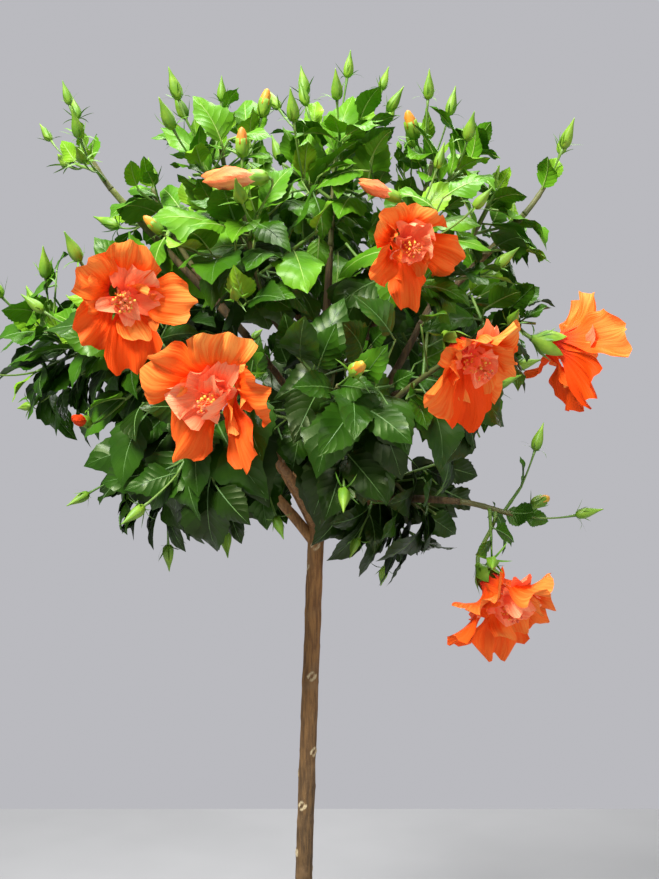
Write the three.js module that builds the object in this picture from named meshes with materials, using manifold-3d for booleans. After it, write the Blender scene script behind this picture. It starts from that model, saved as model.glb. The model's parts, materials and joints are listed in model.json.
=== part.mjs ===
// A hibiscus grown as a standard: one bare stem in a round clay pot, with a rounded head of boughs,
// leafy shoots, buds on long stalks and large double blooms. Millimetres, +Z up.
// The origin is the middle of the pot's flat underside, and the head's fullest side faces -Y.
import * as THREE from "three";
import { mergeVertices } from "three/addons/utils/BufferGeometryUtils.js";
import Module from "manifold-3d";

const wasm = await Module();
wasm.setup();

// ---------------------------------------------------------------- driving dimensions

const POT_HEIGHT = 215;
const POT_RIM_RADIUS = 128;
const POT_FOOT_RADIUS = 92;
const POT_WALL = 8;
const POT_FLOOR = 12;
const RIM_HEIGHT = 34;
const RIM_PROUD = 6;
const SOIL_DEPTH = 26; // from the rim's top down to the soil
const POT_FACETS = 24;
const CLEARANCE = 0.3; // between pieces that touch

const SOIL_TOP = POT_HEIGHT - SOIL_DEPTH;
const TRUNK_FOOT = SOIL_TOP + CLEARANCE;
const TRUNK_TOP = 668;
const TRUNK_LEAN = 14; // how far the fork stands to +X of the foot
const TRUNK_RADIUS = 7.6;
const TRUNK_TOP_RADIUS = 6.9;
const FLARE_RADIUS = 7; // added at the soil
const FLARE_HEIGHT = 20; // over which the flare fades to a third

const BOUGH_ROOT_RADIUS = 4.8;
const LIMB_ROOT_RADIUS = 3.5; // a bough that leaves another bough
const LIMB_TIP_RADIUS = 2.6;
const LEADER_ROOT_RADIUS = 6.2;
const STEM_RADIUS = 3.2; // from the middle to a corner, since twigs have three sides
const STEM_TIP_RADIUS = 2.4;
const SHOOT_RADIUS = 1.9;
const SHOOT_TIP_RADIUS = 1.3;
const ROOT_DEPTH = 0.6; // of a leaf's root, past the middle of its twig
const KEEL_PLACE = 8;
const KEEL_DEPTH = 1.5;

const CROWN_CORE = new THREE.Vector3(14, 0, 700); // where the head's boughs seem to come from
const CROWN_HEART = new THREE.Vector3(10, 20, 790); // the middle of the head, which leaves face away from
const GOLDEN_TURN = 137.508;
const LEAF_TURN = 144; // two fifths of a turn from leaf to leaf
const LEAF_STEP = 12; // between leaves along a shoot
const LEAF_LENGTH = 98; // stalk and blade of a full-grown leaf
const YOUNG_LEAF_LENGTH = 44;
const LEAF_GROWS_OVER = 50; // from a shoot's tip back to its first full-grown leaf
const LEAF_WIDTH_SHARE = 0.56;
const LEAF_MIDDLE = 0.56; // where a leaf is widest, as a share of its length
const LEAF_ARCH = 0.05; // how high it stands there
const LEAF_SCALES = [1, 0.8, 0.62]; // tried in turn where a leaf lacks room
const LEAF_SWINGS = [0, 40, -40, 80, -80, 120, -120];
const BUD_LENGTH = 21;
const BUD_RADIUS = 4.6;
const BUD_STALKS = [24, 44]; // the shortest and the longest
const BUD_STALK_SCALES = [1, 0.72, 0.46];
const HIGH_SPREAD = 30; // degrees from a mass's axis to its highest shoot, where the mass lies level
const LOW_SPREAD = 112; // and to its lowest one
const HIGH_GATHER = 18; // how many degrees less that is where the mass rises steeply
const LOW_GATHER = 24;
const HIGH_NODE = 0.8; // the share of its stem at which a mass's highest shoot leaves it
const LOW_NODE = 0.12;
const SHOOT_REACH = [0.62, 0.82]; // as a share of the mass's radius
const SHOOT_SCALES = [1, 0.82, 0.64, 0.46];
const SHORTEST_SHOOT = 24;
const STALKED_SHOOTS = 3; // of a rising mass, from the top, that bear a second bud

const LEAF_OVERHANG = 28; // how far a leaf may reach past its mass's ball
const BUD_OVERHANG = 46;
const SHYNESS = 1.2; // from a mass's foliage to the border of its own space
const LIMB_ROOM = 2.2; // from a limb's surface to the foliage round it

const PETAL_LENGTH = 61;
const PETAL_START = 16; // degrees between a petal's foot and the bloom's axis
const PETAL_STEPS = 3; // facets round each petal
const PETAL_THICKNESS = 1.1;
const NOTCH_SHARE = 0.52; // how far a notch between two petals reaches in
const INNER_PETALS = 4;
const COLUMN_REACH = 52;
const CALYX_LENGTH = 20;
const CALYX_RADIUS = 7.5;
const CALYX_TO_EYE = 30;
// The rings of a bloom's cup: a share of the petals' length, under them (0) or above them (1).
const CUP_RINGS = [
  { share: 0, above: 0, pole: true },
  { share: 0, above: 0 },
  { share: 0.55, above: 0 },
  { share: 1, above: 0 },
  { share: 1, above: 1 },
  { share: 0.55, above: 1 },
  { share: 0, above: 1, pole: true },
];
const BLOOM_REACH = 56; // from a bloom's axis to the side of the room that it keeps to itself
const BLOOM_DEPTH = 62; // from its foot to the front of that room

const SCRAP_VOLUME = 0.5; // a loose body under this is left out
const UP = new THREE.Vector3(0, 0, 1);

// Each mass of foliage: its name, the limb that its bough leaves, how far up that limb (0 to 1), the
// centre and radius of its ball, its number of shoots, how much these turn upwards (below 0, they hang),
// and the size of its leaves against the usual one.
const MASSES = [
  ["top", "trunk", 1, [28, -14, 922], 80, 8, 0.75, 0.86],
  ["left", "trunk", 0.9, [-184, -22, 780], 74, 7, 0.3, 0.9],
  ["droop", "trunk", 0.955, [158, -52, 654], 48, 3, 0.2, 0.6],
  ["front_left", "trunk", 0.93, [-60, -134, 734], 80, 5, 0, 1],
  ["front_right", "trunk", 0.975, [100, -106, 764], 72, 5, 0.1, 1],
  ["back_left", "trunk", 0.925, [-122, 106, 790], 88, 6, 0.35, 1],
  ["back_right", "trunk", 0.965, [112, 106, 800], 84, 6, 0.35, 1],
  ["right", "top", 0.12, [156, -8, 804], 60, 4, 0.2, 0.9],
  ["upper_left", "top", 0.2, [-112, -14, 890], 66, 6, 0.6, 0.86],
  ["front", "top", 0.16, [26, -122, 748], 84, 6, -0.15, 1],
  ["upper_right", "right", 0.4, [152, 4, 890], 60, 5, 0.6, 0.86],
  ["side_left", "left", 0.36, [-116, -112, 790], 74, 5, 0.3, 1],
  ["low_left", "left", 0.25, [-104, -30, 700], 70, 5, -0.35, 1],
  ["low_right", "droop", 0.3, [80, -6, 670], 62, 5, -0.35, 0.95],
  ["top_left", "top", 0.55, [-58, -28, 914], 76, 6, 0.65, 0.86],
  ["top_right", "top", 0.62, [102, -6, 908], 74, 6, 0.65, 0.86],
  ["front_upper", "top", 0.34, [82, -86, 852], 76, 5, 0.4, 0.95],
  ["front_top", "top", 0.44, [-34, -98, 852], 78, 6, 0.4, 0.95],
  ["back_top", "top", 0.5, [8, 90, 896], 84, 6, 0.55, 0.95],
  ["back_low", "back_left", 0.22, [-4, 124, 730], 82, 6, -0.15, 1],
  ["spray_left", "upper_left", 0.6, [-172, -20, 940], 34, 3, 0.5, 0.6],
  ["spray_right", "upper_right", 0.6, [204, 0, 920], 32, 3, 0.4, 0.66],
];

// Each open bloom: its mass, the place of its eye, and the way it faces (turn from +X towards +Y, and
// tilt above the level), with its size against the usual one.
const BLOOMS = [
  { mass: "side_left", eye: [-130, -164, 826], turn: 286, tilt: -18, size: 1.04 },
  { mass: "front_left", eye: [-54, -206, 756], turn: 242, tilt: -26, size: 1.14 },
  { mass: "front_upper", eye: [80, -132, 868], turn: 298, tilt: -16, size: 0.96 },
  { mass: "front_right", eye: [130, -142, 782], turn: 308, tilt: -34, size: 1.06 },
  { mass: "right", eye: [222, -40, 790], turn: 24, tilt: -14, size: 1.14 },
  { mass: "droop", eye: [162, -84, 590], turn: 304, tilt: -38, size: 1.12 },
  { mass: "back_left", eye: [-130, 176, 816], turn: 118, tilt: -8, size: 1.02 },
  { mass: "back_right", eye: [138, 176, 790], turn: 58, tilt: -16, size: 1.04 },
];

const MATERIALS = {
  pot: new THREE.MeshStandardMaterial({ color: 0xb5653f, roughness: 0.88, metalness: 0 }),
  soil: new THREE.MeshStandardMaterial({ color: 0x3a2a1f, roughness: 1, metalness: 0 }),
  bark: new THREE.MeshStandardMaterial({ color: 0x8a6746, roughness: 0.85, metalness: 0 }),
  leaf: new THREE.MeshStandardMaterial({ color: 0x2f6d22, roughness: 0.4, metalness: 0 }),
};

// ---------------------------------------------------------------- numbers and vectors

const radians = THREE.MathUtils.degToRad;
const mix = THREE.MathUtils.lerp;
const vector = (x, y, z) => new THREE.Vector3(x, y, z);

// Numbers that look random and are the same every time.
function seeded(seed) {
  let state = (seed * 2654435761) % 4294967296;
  const next = (low = 0, high = 1) => {
    state = (state * 1664525 + 1013904223) % 4294967296;
    return low + ((high - low) * state) / 4294967296;
  };
  for (let i = 0; i < 4; i++) next();
  return next;
}

const along = (from, direction, distance) => from.clone().addScaledVector(direction, distance);
const towards = (from, to) => to.clone().sub(from).normalize();

function facing(turn, tilt) {
  const level = Math.cos(radians(tilt));
  return vector(level * Math.cos(radians(turn)), level * Math.sin(radians(turn)), Math.sin(radians(tilt)));
}

// Two directions square to one, the first as level as it can be.
function across(direction) {
  const helper = Math.abs(direction.z) < 0.96 ? UP : vector(0, 1, 0);
  const side = helper.clone().cross(direction).normalize();
  return [side, direction.clone().cross(side).normalize()];
}

function turnedOut(direction, turn, angle) {
  const [side, over] = across(direction);
  return direction
    .clone()
    .multiplyScalar(Math.cos(radians(angle)))
    .addScaledVector(side, Math.sin(radians(angle)) * Math.cos(radians(turn)))
    .addScaledVector(over, Math.sin(radians(angle)) * Math.sin(radians(turn)));
}

// ---------------------------------------------------------------- solids

function solidOf(geometry) {
  const bare = geometry.clone();
  bare.deleteAttribute("normal");
  bare.deleteAttribute("uv");
  const merged = mergeVertices(bare, 1e-5);
  const mesh = new wasm.Mesh({
    numProp: 3,
    vertProperties: merged.attributes.position.array,
    triVerts: new Uint32Array(merged.index.array),
  });
  return new wasm.Manifold(mesh);
}

function geometryOf(solid) {
  const { vertProperties, triVerts } = solid.getMesh();
  const geometry = new THREE.BufferGeometry();
  geometry.setAttribute("position", new THREE.BufferAttribute(vertProperties, 3));
  geometry.setIndex(new THREE.BufferAttribute(triVerts, 1));
  geometry.computeVertexNormals();
  return geometry;
}

// The separate bodies of a solid. A hollow that is sealed inside it comes last, with a volume below 0.
const largestFirst = (solid) => solid.decompose().sort((a, b) => b.volume() - a.volume());

// Moves every point of a geometry to the place that a function of its own place gives.
function reshaped(geometry, placeOf) {
  const place = geometry.getAttribute("position");
  for (let i = 0; i < place.count; i++) {
    const { x, y, z } = placeOf(place.getX(i), place.getY(i), place.getZ(i));
    place.setXYZ(i, x, y, z);
  }
  return geometry;
}

const curveOf = (from, leaving, arriving, to) => {
  const third = from.distanceTo(to) / 3;
  return new THREE.CubicBezierCurve3(from, along(from, leaving, third), along(to, arriving, -third), to);
};

// A closed blunt rod along a curve, whose radius changes from foot (0) to tip (1).
function rod(curve, radiusAt, sides, steps) {
  const reference = across(towards(curve.getPoint(0), curve.getPoint(1)))[0];
  return reshaped(new THREE.CylinderGeometry(1, 1, 1, sides, steps), (x, y, z) => {
    const t = y + 0.5;
    const tangent = curve.getTangent(t);
    const second = reference.clone().cross(tangent).normalize();
    const first = tangent.clone().cross(second);
    return along(along(curve.getPoint(t), first, x * radiusAt(t)), second, z * radiusAt(t));
  });
}

// A closed spike through a row of stations: places, each with its radius and the spike's way there.
// The last place is its point.
function spike(stations, sides) {
  const last = stations.length - 1;
  const reference = across(towards(stations[0].place, stations[last].place))[0];
  return reshaped(new THREE.ConeGeometry(1, last, sides, last), (x, y, z) => {
    const ring = Math.round(y + last / 2);
    const { place, radius, way } = stations[ring];
    const second = reference.clone().cross(way).normalize();
    const first = way.clone().cross(second);
    const spread = ring < last ? (radius * last) / (last - ring) : 0;
    return along(along(place, first, x * spread), second, z * spread);
  });
}

function stationsOf(curve, radiusAt, steps) {
  const shares = Array.from({ length: steps + 1 }, (_, i) => i / steps);
  return shares.map((t) => ({ place: curve.getPoint(t), radius: radiusAt(t), way: curve.getTangent(t) }));
}

// The place and the way at a share of a row of stations, on the straight line between two of them.
function onRow(stations, t) {
  const step = Math.min(t * (stations.length - 1), stations.length - 1.001);
  const [a, b] = [stations[Math.floor(step)].place, stations[Math.floor(step) + 1].place];
  return { place: a.clone().lerp(b, step % 1), way: towards(a, b) };
}

const tapered = (root, tip) => (t) => mix(root, tip, t);

// ---------------------------------------------------------------- pot and soil

const outer = (z) => mix(POT_FOOT_RADIUS, POT_RIM_RADIUS - RIM_PROUD, z / POT_HEIGHT);
const inner = (z) => outer(z) - POT_WALL;

function potProfile() {
  const rimFoot = POT_HEIGHT - RIM_HEIGHT;
  const bevel = 3;
  return [
    [0, 0],
    [POT_FOOT_RADIUS - bevel, 0],
    [outer(bevel), bevel],
    [outer(rimFoot), rimFoot],
    [outer(rimFoot) + RIM_PROUD, rimFoot + 1.5],
    [POT_RIM_RADIUS, POT_HEIGHT - bevel],
    [POT_RIM_RADIUS - bevel, POT_HEIGHT],
    [inner(POT_HEIGHT) + bevel, POT_HEIGHT],
    [inner(POT_HEIGHT - bevel), POT_HEIGHT - bevel],
    [inner(POT_FLOOR), POT_FLOOR],
    [0, POT_FLOOR],
  ];
}

function soilProfile() {
  const foot = POT_FLOOR + CLEARANCE;
  const edge = SOIL_TOP - 4;
  const flatTop = 30;
  return [
    [0, foot],
    [inner(foot) - CLEARANCE, foot],
    [inner(edge) - CLEARANCE, edge],
    [mix(flatTop, inner(edge), 0.5), SOIL_TOP - 1.5],
    [flatTop, SOIL_TOP],
    [0, SOIL_TOP],
  ];
}

function turned(profile, segments) {
  const points = profile.map(([radius, height]) => new THREE.Vector2(radius, height));
  return new THREE.LatheGeometry(points, segments).rotateX(Math.PI / 2);
}

// ---------------------------------------------------------------- trunk and boughs

function trunkCurve() {
  const height = TRUNK_TOP - TRUNK_FOOT;
  return new THREE.CubicBezierCurve3(
    vector(0, 0, TRUNK_FOOT),
    vector(0, 0, TRUNK_FOOT + height / 3),
    vector(TRUNK_LEAN * 0.62, 3, TRUNK_FOOT + (2 * height) / 3),
    vector(TRUNK_LEAN, 0, TRUNK_TOP),
  );
}

function trunkRadius(t) {
  const height = t * (TRUNK_TOP - TRUNK_FOOT);
  return mix(TRUNK_RADIUS, TRUNK_TOP_RADIUS, t) + FLARE_RADIUS * Math.exp(-height / FLARE_HEIGHT);
}

// A limb has a curve, a radius along it, and the points that foliage keeps clear of.
function limb(name, curve, radiusAt, sides, steps) {
  const shares = Array.from({ length: 17 }, (_, i) => i / 16);
  const points = shares.map((t) => ({ place: curve.getPoint(t), radius: radiusAt(t) }));
  return { name, curve, radiusAt, sides, steps, points };
}

// A bough leaves its parent at an angle, bends towards its mass, and ends where it enters the ball.
function boughTo(mass, parent) {
  const isLeader = mass.at === 1;
  const start = parent.curve.getPoint(mass.at);
  const parentWay = parent.curve.getTangent(Math.min(mass.at, 0.999));
  const end = along(mass.centre, mass.outwards, -0.55 * mass.radius);
  const straight = towards(start, end);
  const leaving = isLeader ? parentWay : straight.clone().addScaledVector(parentWay, 0.35).normalize();
  const arriving = straight.clone().addScaledVector(mass.outwards, 0.8).normalize();
  const fromTrunk = mass.parent === "trunk";
  const root = isLeader ? LEADER_ROOT_RADIUS : fromTrunk ? BOUGH_ROOT_RADIUS : LIMB_ROOT_RADIUS;
  const foot = isLeader ? along(start, parentWay, CLEARANCE) : start;
  const curve = curveOf(foot, leaving, arriving, end);
  const [sides, steps] = isLeader ? [6, 5] : [5, 3];
  return limb("bough_" + mass.name, curve, tapered(root, LIMB_TIP_RADIUS), sides, steps);
}

const masses = MASSES.map(([name, parent, at, place, radius, shoots, rise, leafSize], index) => {
  const centre = vector(...place);
  const outwards = towards(CROWN_CORE, centre);
  return { name, index, parent, at, centre, radius, shoots, rise, leafSize, outwards };
});

const trunk = limb("trunk", trunkCurve(), trunkRadius, 9, 10);
const limbs = new Map([["trunk", trunk]]);
for (const mass of masses) limbs.set(mass.name, boughTo(mass, limbs.get(mass.parent)));

const blooms = BLOOMS.map((row, index) => {
  const axis = facing(row.turn, row.tilt);
  return { ...row, index, axis, foot: along(vector(...row.eye), axis, -CALYX_TO_EYE * row.size) };
});

// ---------------------------------------------------------------- the room that each mass keeps

// True where a point is in the mass's ball or a little over it, on its side of every other mass, and
// clear of limbs and blooms.
function isFree(point, mass, over = 0) {
  if (point.distanceTo(mass.centre) > mass.radius + over) return false;
  const power = (one) => point.distanceToSquared(one.centre) - one.radius ** 2;
  for (const other of masses) {
    if (other === mass) continue;
    if (power(other) - power(mass) < 2 * SHYNESS * other.centre.distanceTo(mass.centre)) return false;
  }
  for (const { points } of limbs.values()) {
    for (let i = 1; i < points.length; i++) {
      const a = points[i - 1];
      const b = points[i];
      const span = b.place.clone().sub(a.place);
      const t = THREE.MathUtils.clamp(point.clone().sub(a.place).dot(span) / span.lengthSq(), 0, 1);
      if (point.distanceTo(along(a.place, span, t)) < mix(a.radius, b.radius, t) + LIMB_ROOM) return false;
    }
  }
  return !blooms.some((bloom) => isInBloomRoom(point, bloom));
}

// The room of a bloom widens from its foot like a cup. Nothing grows in it, or in front of it.
function isInBloomRoom(point, bloom) {
  const offset = point.clone().sub(bloom.foot);
  const ahead = offset.dot(bloom.axis) / bloom.size;
  const beside = Math.sqrt(Math.max(0, offset.lengthSq() / bloom.size ** 2 - ahead ** 2));
  if (ahead > BLOOM_DEPTH) return beside < 0.8 * BLOOM_REACH;
  return ahead > -4 && beside < Math.min(BLOOM_REACH, 10 + 1.1 * ahead);
}

const lineIsFree = (line, mass) =>
  Array.from({ length: 9 }, (_, i) => mix(0.15, 1, i / 8)).every((t) => isFree(line.getPoint(t), mass));

// ---------------------------------------------------------------- leaves, buds and blooms

// A leaf grows out of a shoot, arches over and hangs a little, and turns its face up and outwards.
function leafFrame(foot, way, age, length, hang) {
  const forward = way.clone().addScaledVector(UP, -hang).normalize();
  const light = UP.clone().addScaledVector(towards(CROWN_HEART, foot), 2);
  const face = light.addScaledVector(forward, -light.dot(forward)).normalize();
  return { foot, forward, face, side: face.clone().cross(forward), length, droop: mix(0.25, 0.6, age) };
}

function leafPoints({ foot, forward, face, side, length, droop }) {
  const half = (length * LEAF_WIDTH_SHARE) / 2;
  const middle = along(along(foot, forward, LEAF_MIDDLE * length), face, LEAF_ARCH * length);
  const onwards = forward.clone().addScaledVector(face, -droop).normalize();
  const tip = along(middle, onwards, (1 - LEAF_MIDDLE) * length);
  return { foot, middle, tip, left: along(middle, side, half), right: along(middle, side, -half) };
}

function leafIsFree({ foot, middle, tip, left, right }, mass) {
  const between = (a, b, t) => a.clone().lerp(b, t);
  const tested = [middle, tip, left, right, between(middle, tip, 0.5), between(foot, middle, 0.5)];
  for (const edge of [left, right]) {
    tested.push(between(edge, tip, 0.5), between(edge, foot, 0.35), between(edge, foot, 0.65));
    tested.push(between(edge, middle, 0.5));
  }
  return tested.every((point) => isFree(point, mass, LEAF_OVERHANG));
}

// A blade is flat above, with a keel under its midrib that is deepest near the root.
function bladeSolid({ foot, tip, left, right }, { forward, face }) {
  const sunk = along(foot, forward, -ROOT_DEPTH);
  const keel = along(along(foot, forward, KEEL_PLACE), face, -KEEL_DEPTH);
  return solidOf(
    reshaped(new THREE.ConeGeometry(1, 2, 3, 2), (x, y, z) => {
      if (y > 0.5) return tip;
      if (y < -0.5) return sunk;
      return z > 0.4 ? keel : x > 0 ? left : right;
    }),
  );
}

// A bud on its stalk, which bows a little and then stands up, and is shorter where there is no room.
function budThatFits(foot, way, mass, random) {
  const stalk = random(...BUD_STALKS) * (1 + 0.8 * Math.max(0, mass.rise));
  const size = random(0.8, 1.15);
  const axis = way.clone().addScaledVector(UP, 0.2 + mass.rise).normalize();
  for (const shorter of BUD_STALK_SCALES) {
    const head = along(foot, way.clone().add(axis).normalize(), stalk * shorter);
    const top = along(head, axis, BUD_LENGTH * size);
    const isInRoom = [head, top].every((point) => isFree(point, mass, BUD_OVERHANG));
    if (isInRoom) return { foot, head, axis, size, top };
  }
  return null;
}

const budStations = ({ head, axis, size, top }) => [
  { place: head, radius: 1.2, way: axis },
  { place: along(head, axis, 0.36 * BUD_LENGTH * size), radius: BUD_RADIUS * size, way: axis },
  { place: top, radius: 0, way: axis },
];

// The calyx and the five outer petals of a bloom, as one cup. The petals leave the calyx along the
// bloom's axis and roll outwards, with a notch between neighbours.
function cupSolid(bloom, random) {
  const [side, over] = across(bloom.axis);
  const petals = Array.from({ length: 5 }, () => ({
    length: PETAL_LENGTH * bloom.size * random(0.86, 1.1),
    opening: random(66, 114),
    lift: random(-4, 4),
  }));
  const start = radians(PETAL_START);
  const throat = 0.8 * CALYX_LENGTH * bloom.size;
  const points = CUP_RINGS.map(({ pole }, ring) => new THREE.Vector2(pole ? 0 : 1, ring));
  return solidOf(
    reshaped(new THREE.LatheGeometry(points, 5 * PETAL_STEPS), (x, y, z) => {
      const { share, above, pole } = CUP_RINGS[Math.round(y)];
      if (pole) return along(bloom.foot, bloom.axis, above ? throat + 3 : 0);
      const turn = (Math.atan2(x, z) / (2 * Math.PI) + 1) % 1;
      const petal = petals[Math.floor(turn * 5 + 0.5) % 5];
      const beside = Math.abs(((turn * 5 + 0.5) % 1) - 0.5) * 2; // 0 on a petal's rib, 1 in a notch
      const u = share * (1 - NOTCH_SHARE * beside ** 3);
      const sweep = radians(petal.opening) - start;
      const angle = start + sweep * u;
      const reach = (petal.length * (Math.cos(start) - Math.cos(angle))) / sweep;
      const rise = (petal.length * (Math.sin(angle) - Math.sin(start))) / sweep;
      const height = throat + 0.8 * rise + petal.lift * u * (1 - beside) + above * PETAL_THICKNESS;
      const radial = side.clone().multiplyScalar(Math.cos(turn * 2 * Math.PI));
      radial.addScaledVector(over, Math.sin(turn * 2 * Math.PI));
      const width = CALYX_RADIUS * bloom.size * (1 - u) + reach;
      return along(along(bloom.foot, radial, width), bloom.axis, height);
    }),
  );
}

// A small inner petal: a pointed blade that grows out of the column.
function innerPetalSolid(bloom, turn, random) {
  const forward = turnedOut(bloom.axis, turn, random(34, 52));
  const foot = along(bloom.foot, bloom.axis, random(1.15, 1.4) * CALYX_LENGTH * bloom.size);
  const length = random(25, 33) * bloom.size;
  const half = random(8, 9.5) * bloom.size;
  const face = bloom.axis.clone().addScaledVector(forward, -bloom.axis.dot(forward)).normalize();
  const side = face.clone().cross(forward);
  const middle = along(foot, forward, 0.6 * length);
  const tip = along(foot, forward, length);
  const blade = { foot, middle, tip, left: along(middle, side, half), right: along(middle, side, -half) };
  return bladeSolid(blade, { forward, face });
}

function bloomSolids(bloom) {
  const random = seeded(500 + bloom.index);
  const { size, axis, foot } = bloom;
  const column = [
    { place: along(foot, axis, 0.5 * CALYX_LENGTH * size), radius: 3.4, way: axis },
    { place: along(foot, axis, COLUMN_REACH * size), radius: 0, way: axis },
  ];
  const solids = [cupSolid(bloom, random), solidOf(spike(column, 4))];
  for (let k = 0; k < INNER_PETALS; k++) {
    solids.push(innerPetalSolid(bloom, (360 * k) / INNER_PETALS + random(-10, 10), random));
  }
  return solids;
}

// ---------------------------------------------------------------- one mass of foliage

// The stem goes on from the bough's tip through the ball. Shoots leave it in a spiral, each to its own
// place near the ball's surface, and each carries leaves and ends in a bud.
function growMass(mass) {
  const bough = limbs.get(mass.name);
  const random = seeded(10 + mass.index);
  const way = bough.curve.getTangent(1);
  const root = along(bough.curve.getPoint(1), way, CLEARANCE);
  const lifted = mass.outwards.clone().addScaledVector(UP, mass.rise).normalize();
  const stemCurve = curveOf(root, way, lifted, along(mass.centre, lifted, 0.6 * mass.radius));
  const stem = stationsOf(stemCurve, tapered(STEM_RADIUS, STEM_TIP_RADIUS), 3);
  const shoots = [stem];
  const rise = Math.max(0, mass.rise);
  for (let j = 0; j < mass.shoots; j++) {
    const share = (j + 0.5) / mass.shoots;
    const [high, low] = [HIGH_SPREAD - HIGH_GATHER * rise, LOW_SPREAD - LOW_GATHER * rise];
    const angle = mix(high, low, share) + random(-10, 10);
    const heading = turnedOut(lifted, GOLDEN_TURN * j + 40 * mass.index, angle);
    const start = onRow(stem, mix(HIGH_NODE, LOW_NODE, share));
    const reach = random(...SHOOT_REACH);
    for (const shorter of SHOOT_SCALES) {
      const end = along(mass.centre, heading, reach * shorter * mass.radius);
      const line = new THREE.LineCurve3(start.place, end);
      if (!lineIsFree(line, mass) || line.getLength() < SHORTEST_SHOOT) continue;
      shoots.push(stationsOf(line, tapered(SHOOT_RADIUS, SHOOT_TIP_RADIUS), 1));
      break;
    }
  }
  return { mass, shoots, ...dress(mass, shoots) };
}

// Each shoot ends in a bud, and the highest shoots of a rising mass have a second one beside it.
function dress(mass, shoots) {
  const random = seeded(700 + mass.index);
  const buds = shoots.flatMap((row, j) => {
    const tip = onRow(row, 1);
    const lower = onRow(row, 0.7);
    const first = budThatFits(tip.place, turnedOut(tip.way, 50 * j, 12), mass, random);
    const second = budThatFits(lower.place, turnedOut(lower.way, 50 * j + 180, 34), mass, random);
    const grown = first ? [{ ...first, shoot: j, ending: true }] : [];
    if (second && mass.rise > 0.3 && j < STALKED_SHOOTS) grown.push({ ...second, shoot: j, ending: false });
    return grown;
  });
  const lines = shoots.flatMap((row) =>
    row.slice(1).map(({ place }, i) => ({ from: row[i].place, to: place })),
  );
  for (const { foot, head, top } of buds) lines.push({ from: foot, to: head }, { from: head, to: top });
  const leaves = [];
  shoots.forEach((row, j) => leafRow(row, mass, j, lines, leaves));
  return { leaves, buds };
}

// Puts two of each three leaves of a shoot in a list, from its tip back. They get older and larger from
// there.
function leafRow(row, mass, j, lines, leaves) {
  const random = seeded(1000 + 40 * mass.index + j);
  const length = row.slice(1).reduce((sum, { place }, i) => sum + place.distanceTo(row[i].place), 0);
  const count = Math.floor((0.86 * length) / LEAF_STEP);
  for (let i = 0; i < count; i++) {
    const age = Math.min(1, (i * LEAF_STEP) / LEAF_GROWS_OVER);
    const size = mix(YOUNG_LEAF_LENGTH, LEAF_LENGTH, age) * mass.leafSize * random(0.85, 1.12);
    const hang = mix(0, 1.4, age) - 0.4 * mass.rise + random(-0.3, 0.3);
    if (i % 3 === 2) continue;
    const node = onRow(row, 0.96 - (i * LEAF_STEP) / length);
    const leaf = leafThatFits(node, mass, LEAF_TURN * i + 77 * j, age, size, hang, lines, leaves);
    if (leaf) leaves.push(leaf);
  }
}

// A leaf that has no room turns aside along its shoot, or stays smaller.
function leafThatFits(node, mass, turn, age, size, hang, lines, leaves) {
  for (const scale of LEAF_SCALES) {
    for (const swing of LEAF_SWINGS) {
      const way = turnedOut(node.way, turn + swing, mix(32, 74, age));
      const frame = leafFrame(node.place, way, age, size * scale, hang);
      const points = leafPoints(frame);
      if (!leafIsFree(points, mass) || lines.some((line) => pierces(line, points))) continue;
      if (!leaves.some((leaf) => cross(points, leaf.points))) return { points, frame };
    }
  }
  return null;
}

// Whether a line goes through the blade of a leaf, away from its root.
function pierces({ from, to }, { foot, middle, left, right, tip }) {
  const ray = new THREE.Ray(from, towards(from, to));
  return [foot.clone().lerp(middle, 0.08), tip].some((end) => {
    const hit = ray.intersectTriangle(left, right, end, false, vector(0, 0, 0));
    return hit !== null && hit.distanceTo(from) < to.distanceTo(from);
  });
}

// Whether two leaves cross.
function cross(one, other) {
  if (one.middle.distanceTo(other.middle) > LEAF_LENGTH * 1.3) return false;
  const edges = ({ foot, left, right, tip }) => [
    { from: foot, to: left },
    { from: left, to: tip },
    { from: tip, to: right },
    { from: right, to: foot },
    { from: left, to: right },
  ];
  return edges(one).some((edge) => pierces(edge, other)) || edges(other).some((edge) => pierces(edge, one));
}

// The room that a bloom's own petals take, as a solid.
function bloomRoom({ axis, foot, size }) {
  const profile = [
    [0, 0],
    [CALYX_RADIUS, 0],
    [BLOOM_REACH, 0.6 * BLOOM_DEPTH],
    [BLOOM_REACH, BLOOM_DEPTH],
    [0, BLOOM_DEPTH],
  ];
  const [side, over] = across(axis);
  const points = profile.map(([radius, height]) => new THREE.Vector2(radius * size, height * size));
  const room = reshaped(new THREE.LatheGeometry(points, 12), (x, y, z) =>
    along(along(along(foot, axis, y), over, x), side, z),
  );
  return solidOf(room);
}

// The stalk of a bloom leaves the nearest point of the mass's stem and arrives along the bloom's axis.
function bloomStalk(bloom, stem) {
  const nodes = Array.from({ length: 13 }, (_, i) => onRow(stem, mix(0.2, 0.92, i / 12)));
  const distance = ({ place }) => place.distanceTo(bloom.foot);
  const start = nodes.reduce((best, node) => (distance(node) < distance(best) ? node : best));
  const end = along(bloom.foot, bloom.axis, 3);
  const leaving = towards(start.place, end).addScaledVector(start.way, 0.4).normalize();
  return solidOf(rod(curveOf(start.place, leaving, bloom.axis, end), () => 1.6, 3, 3));
}

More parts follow.
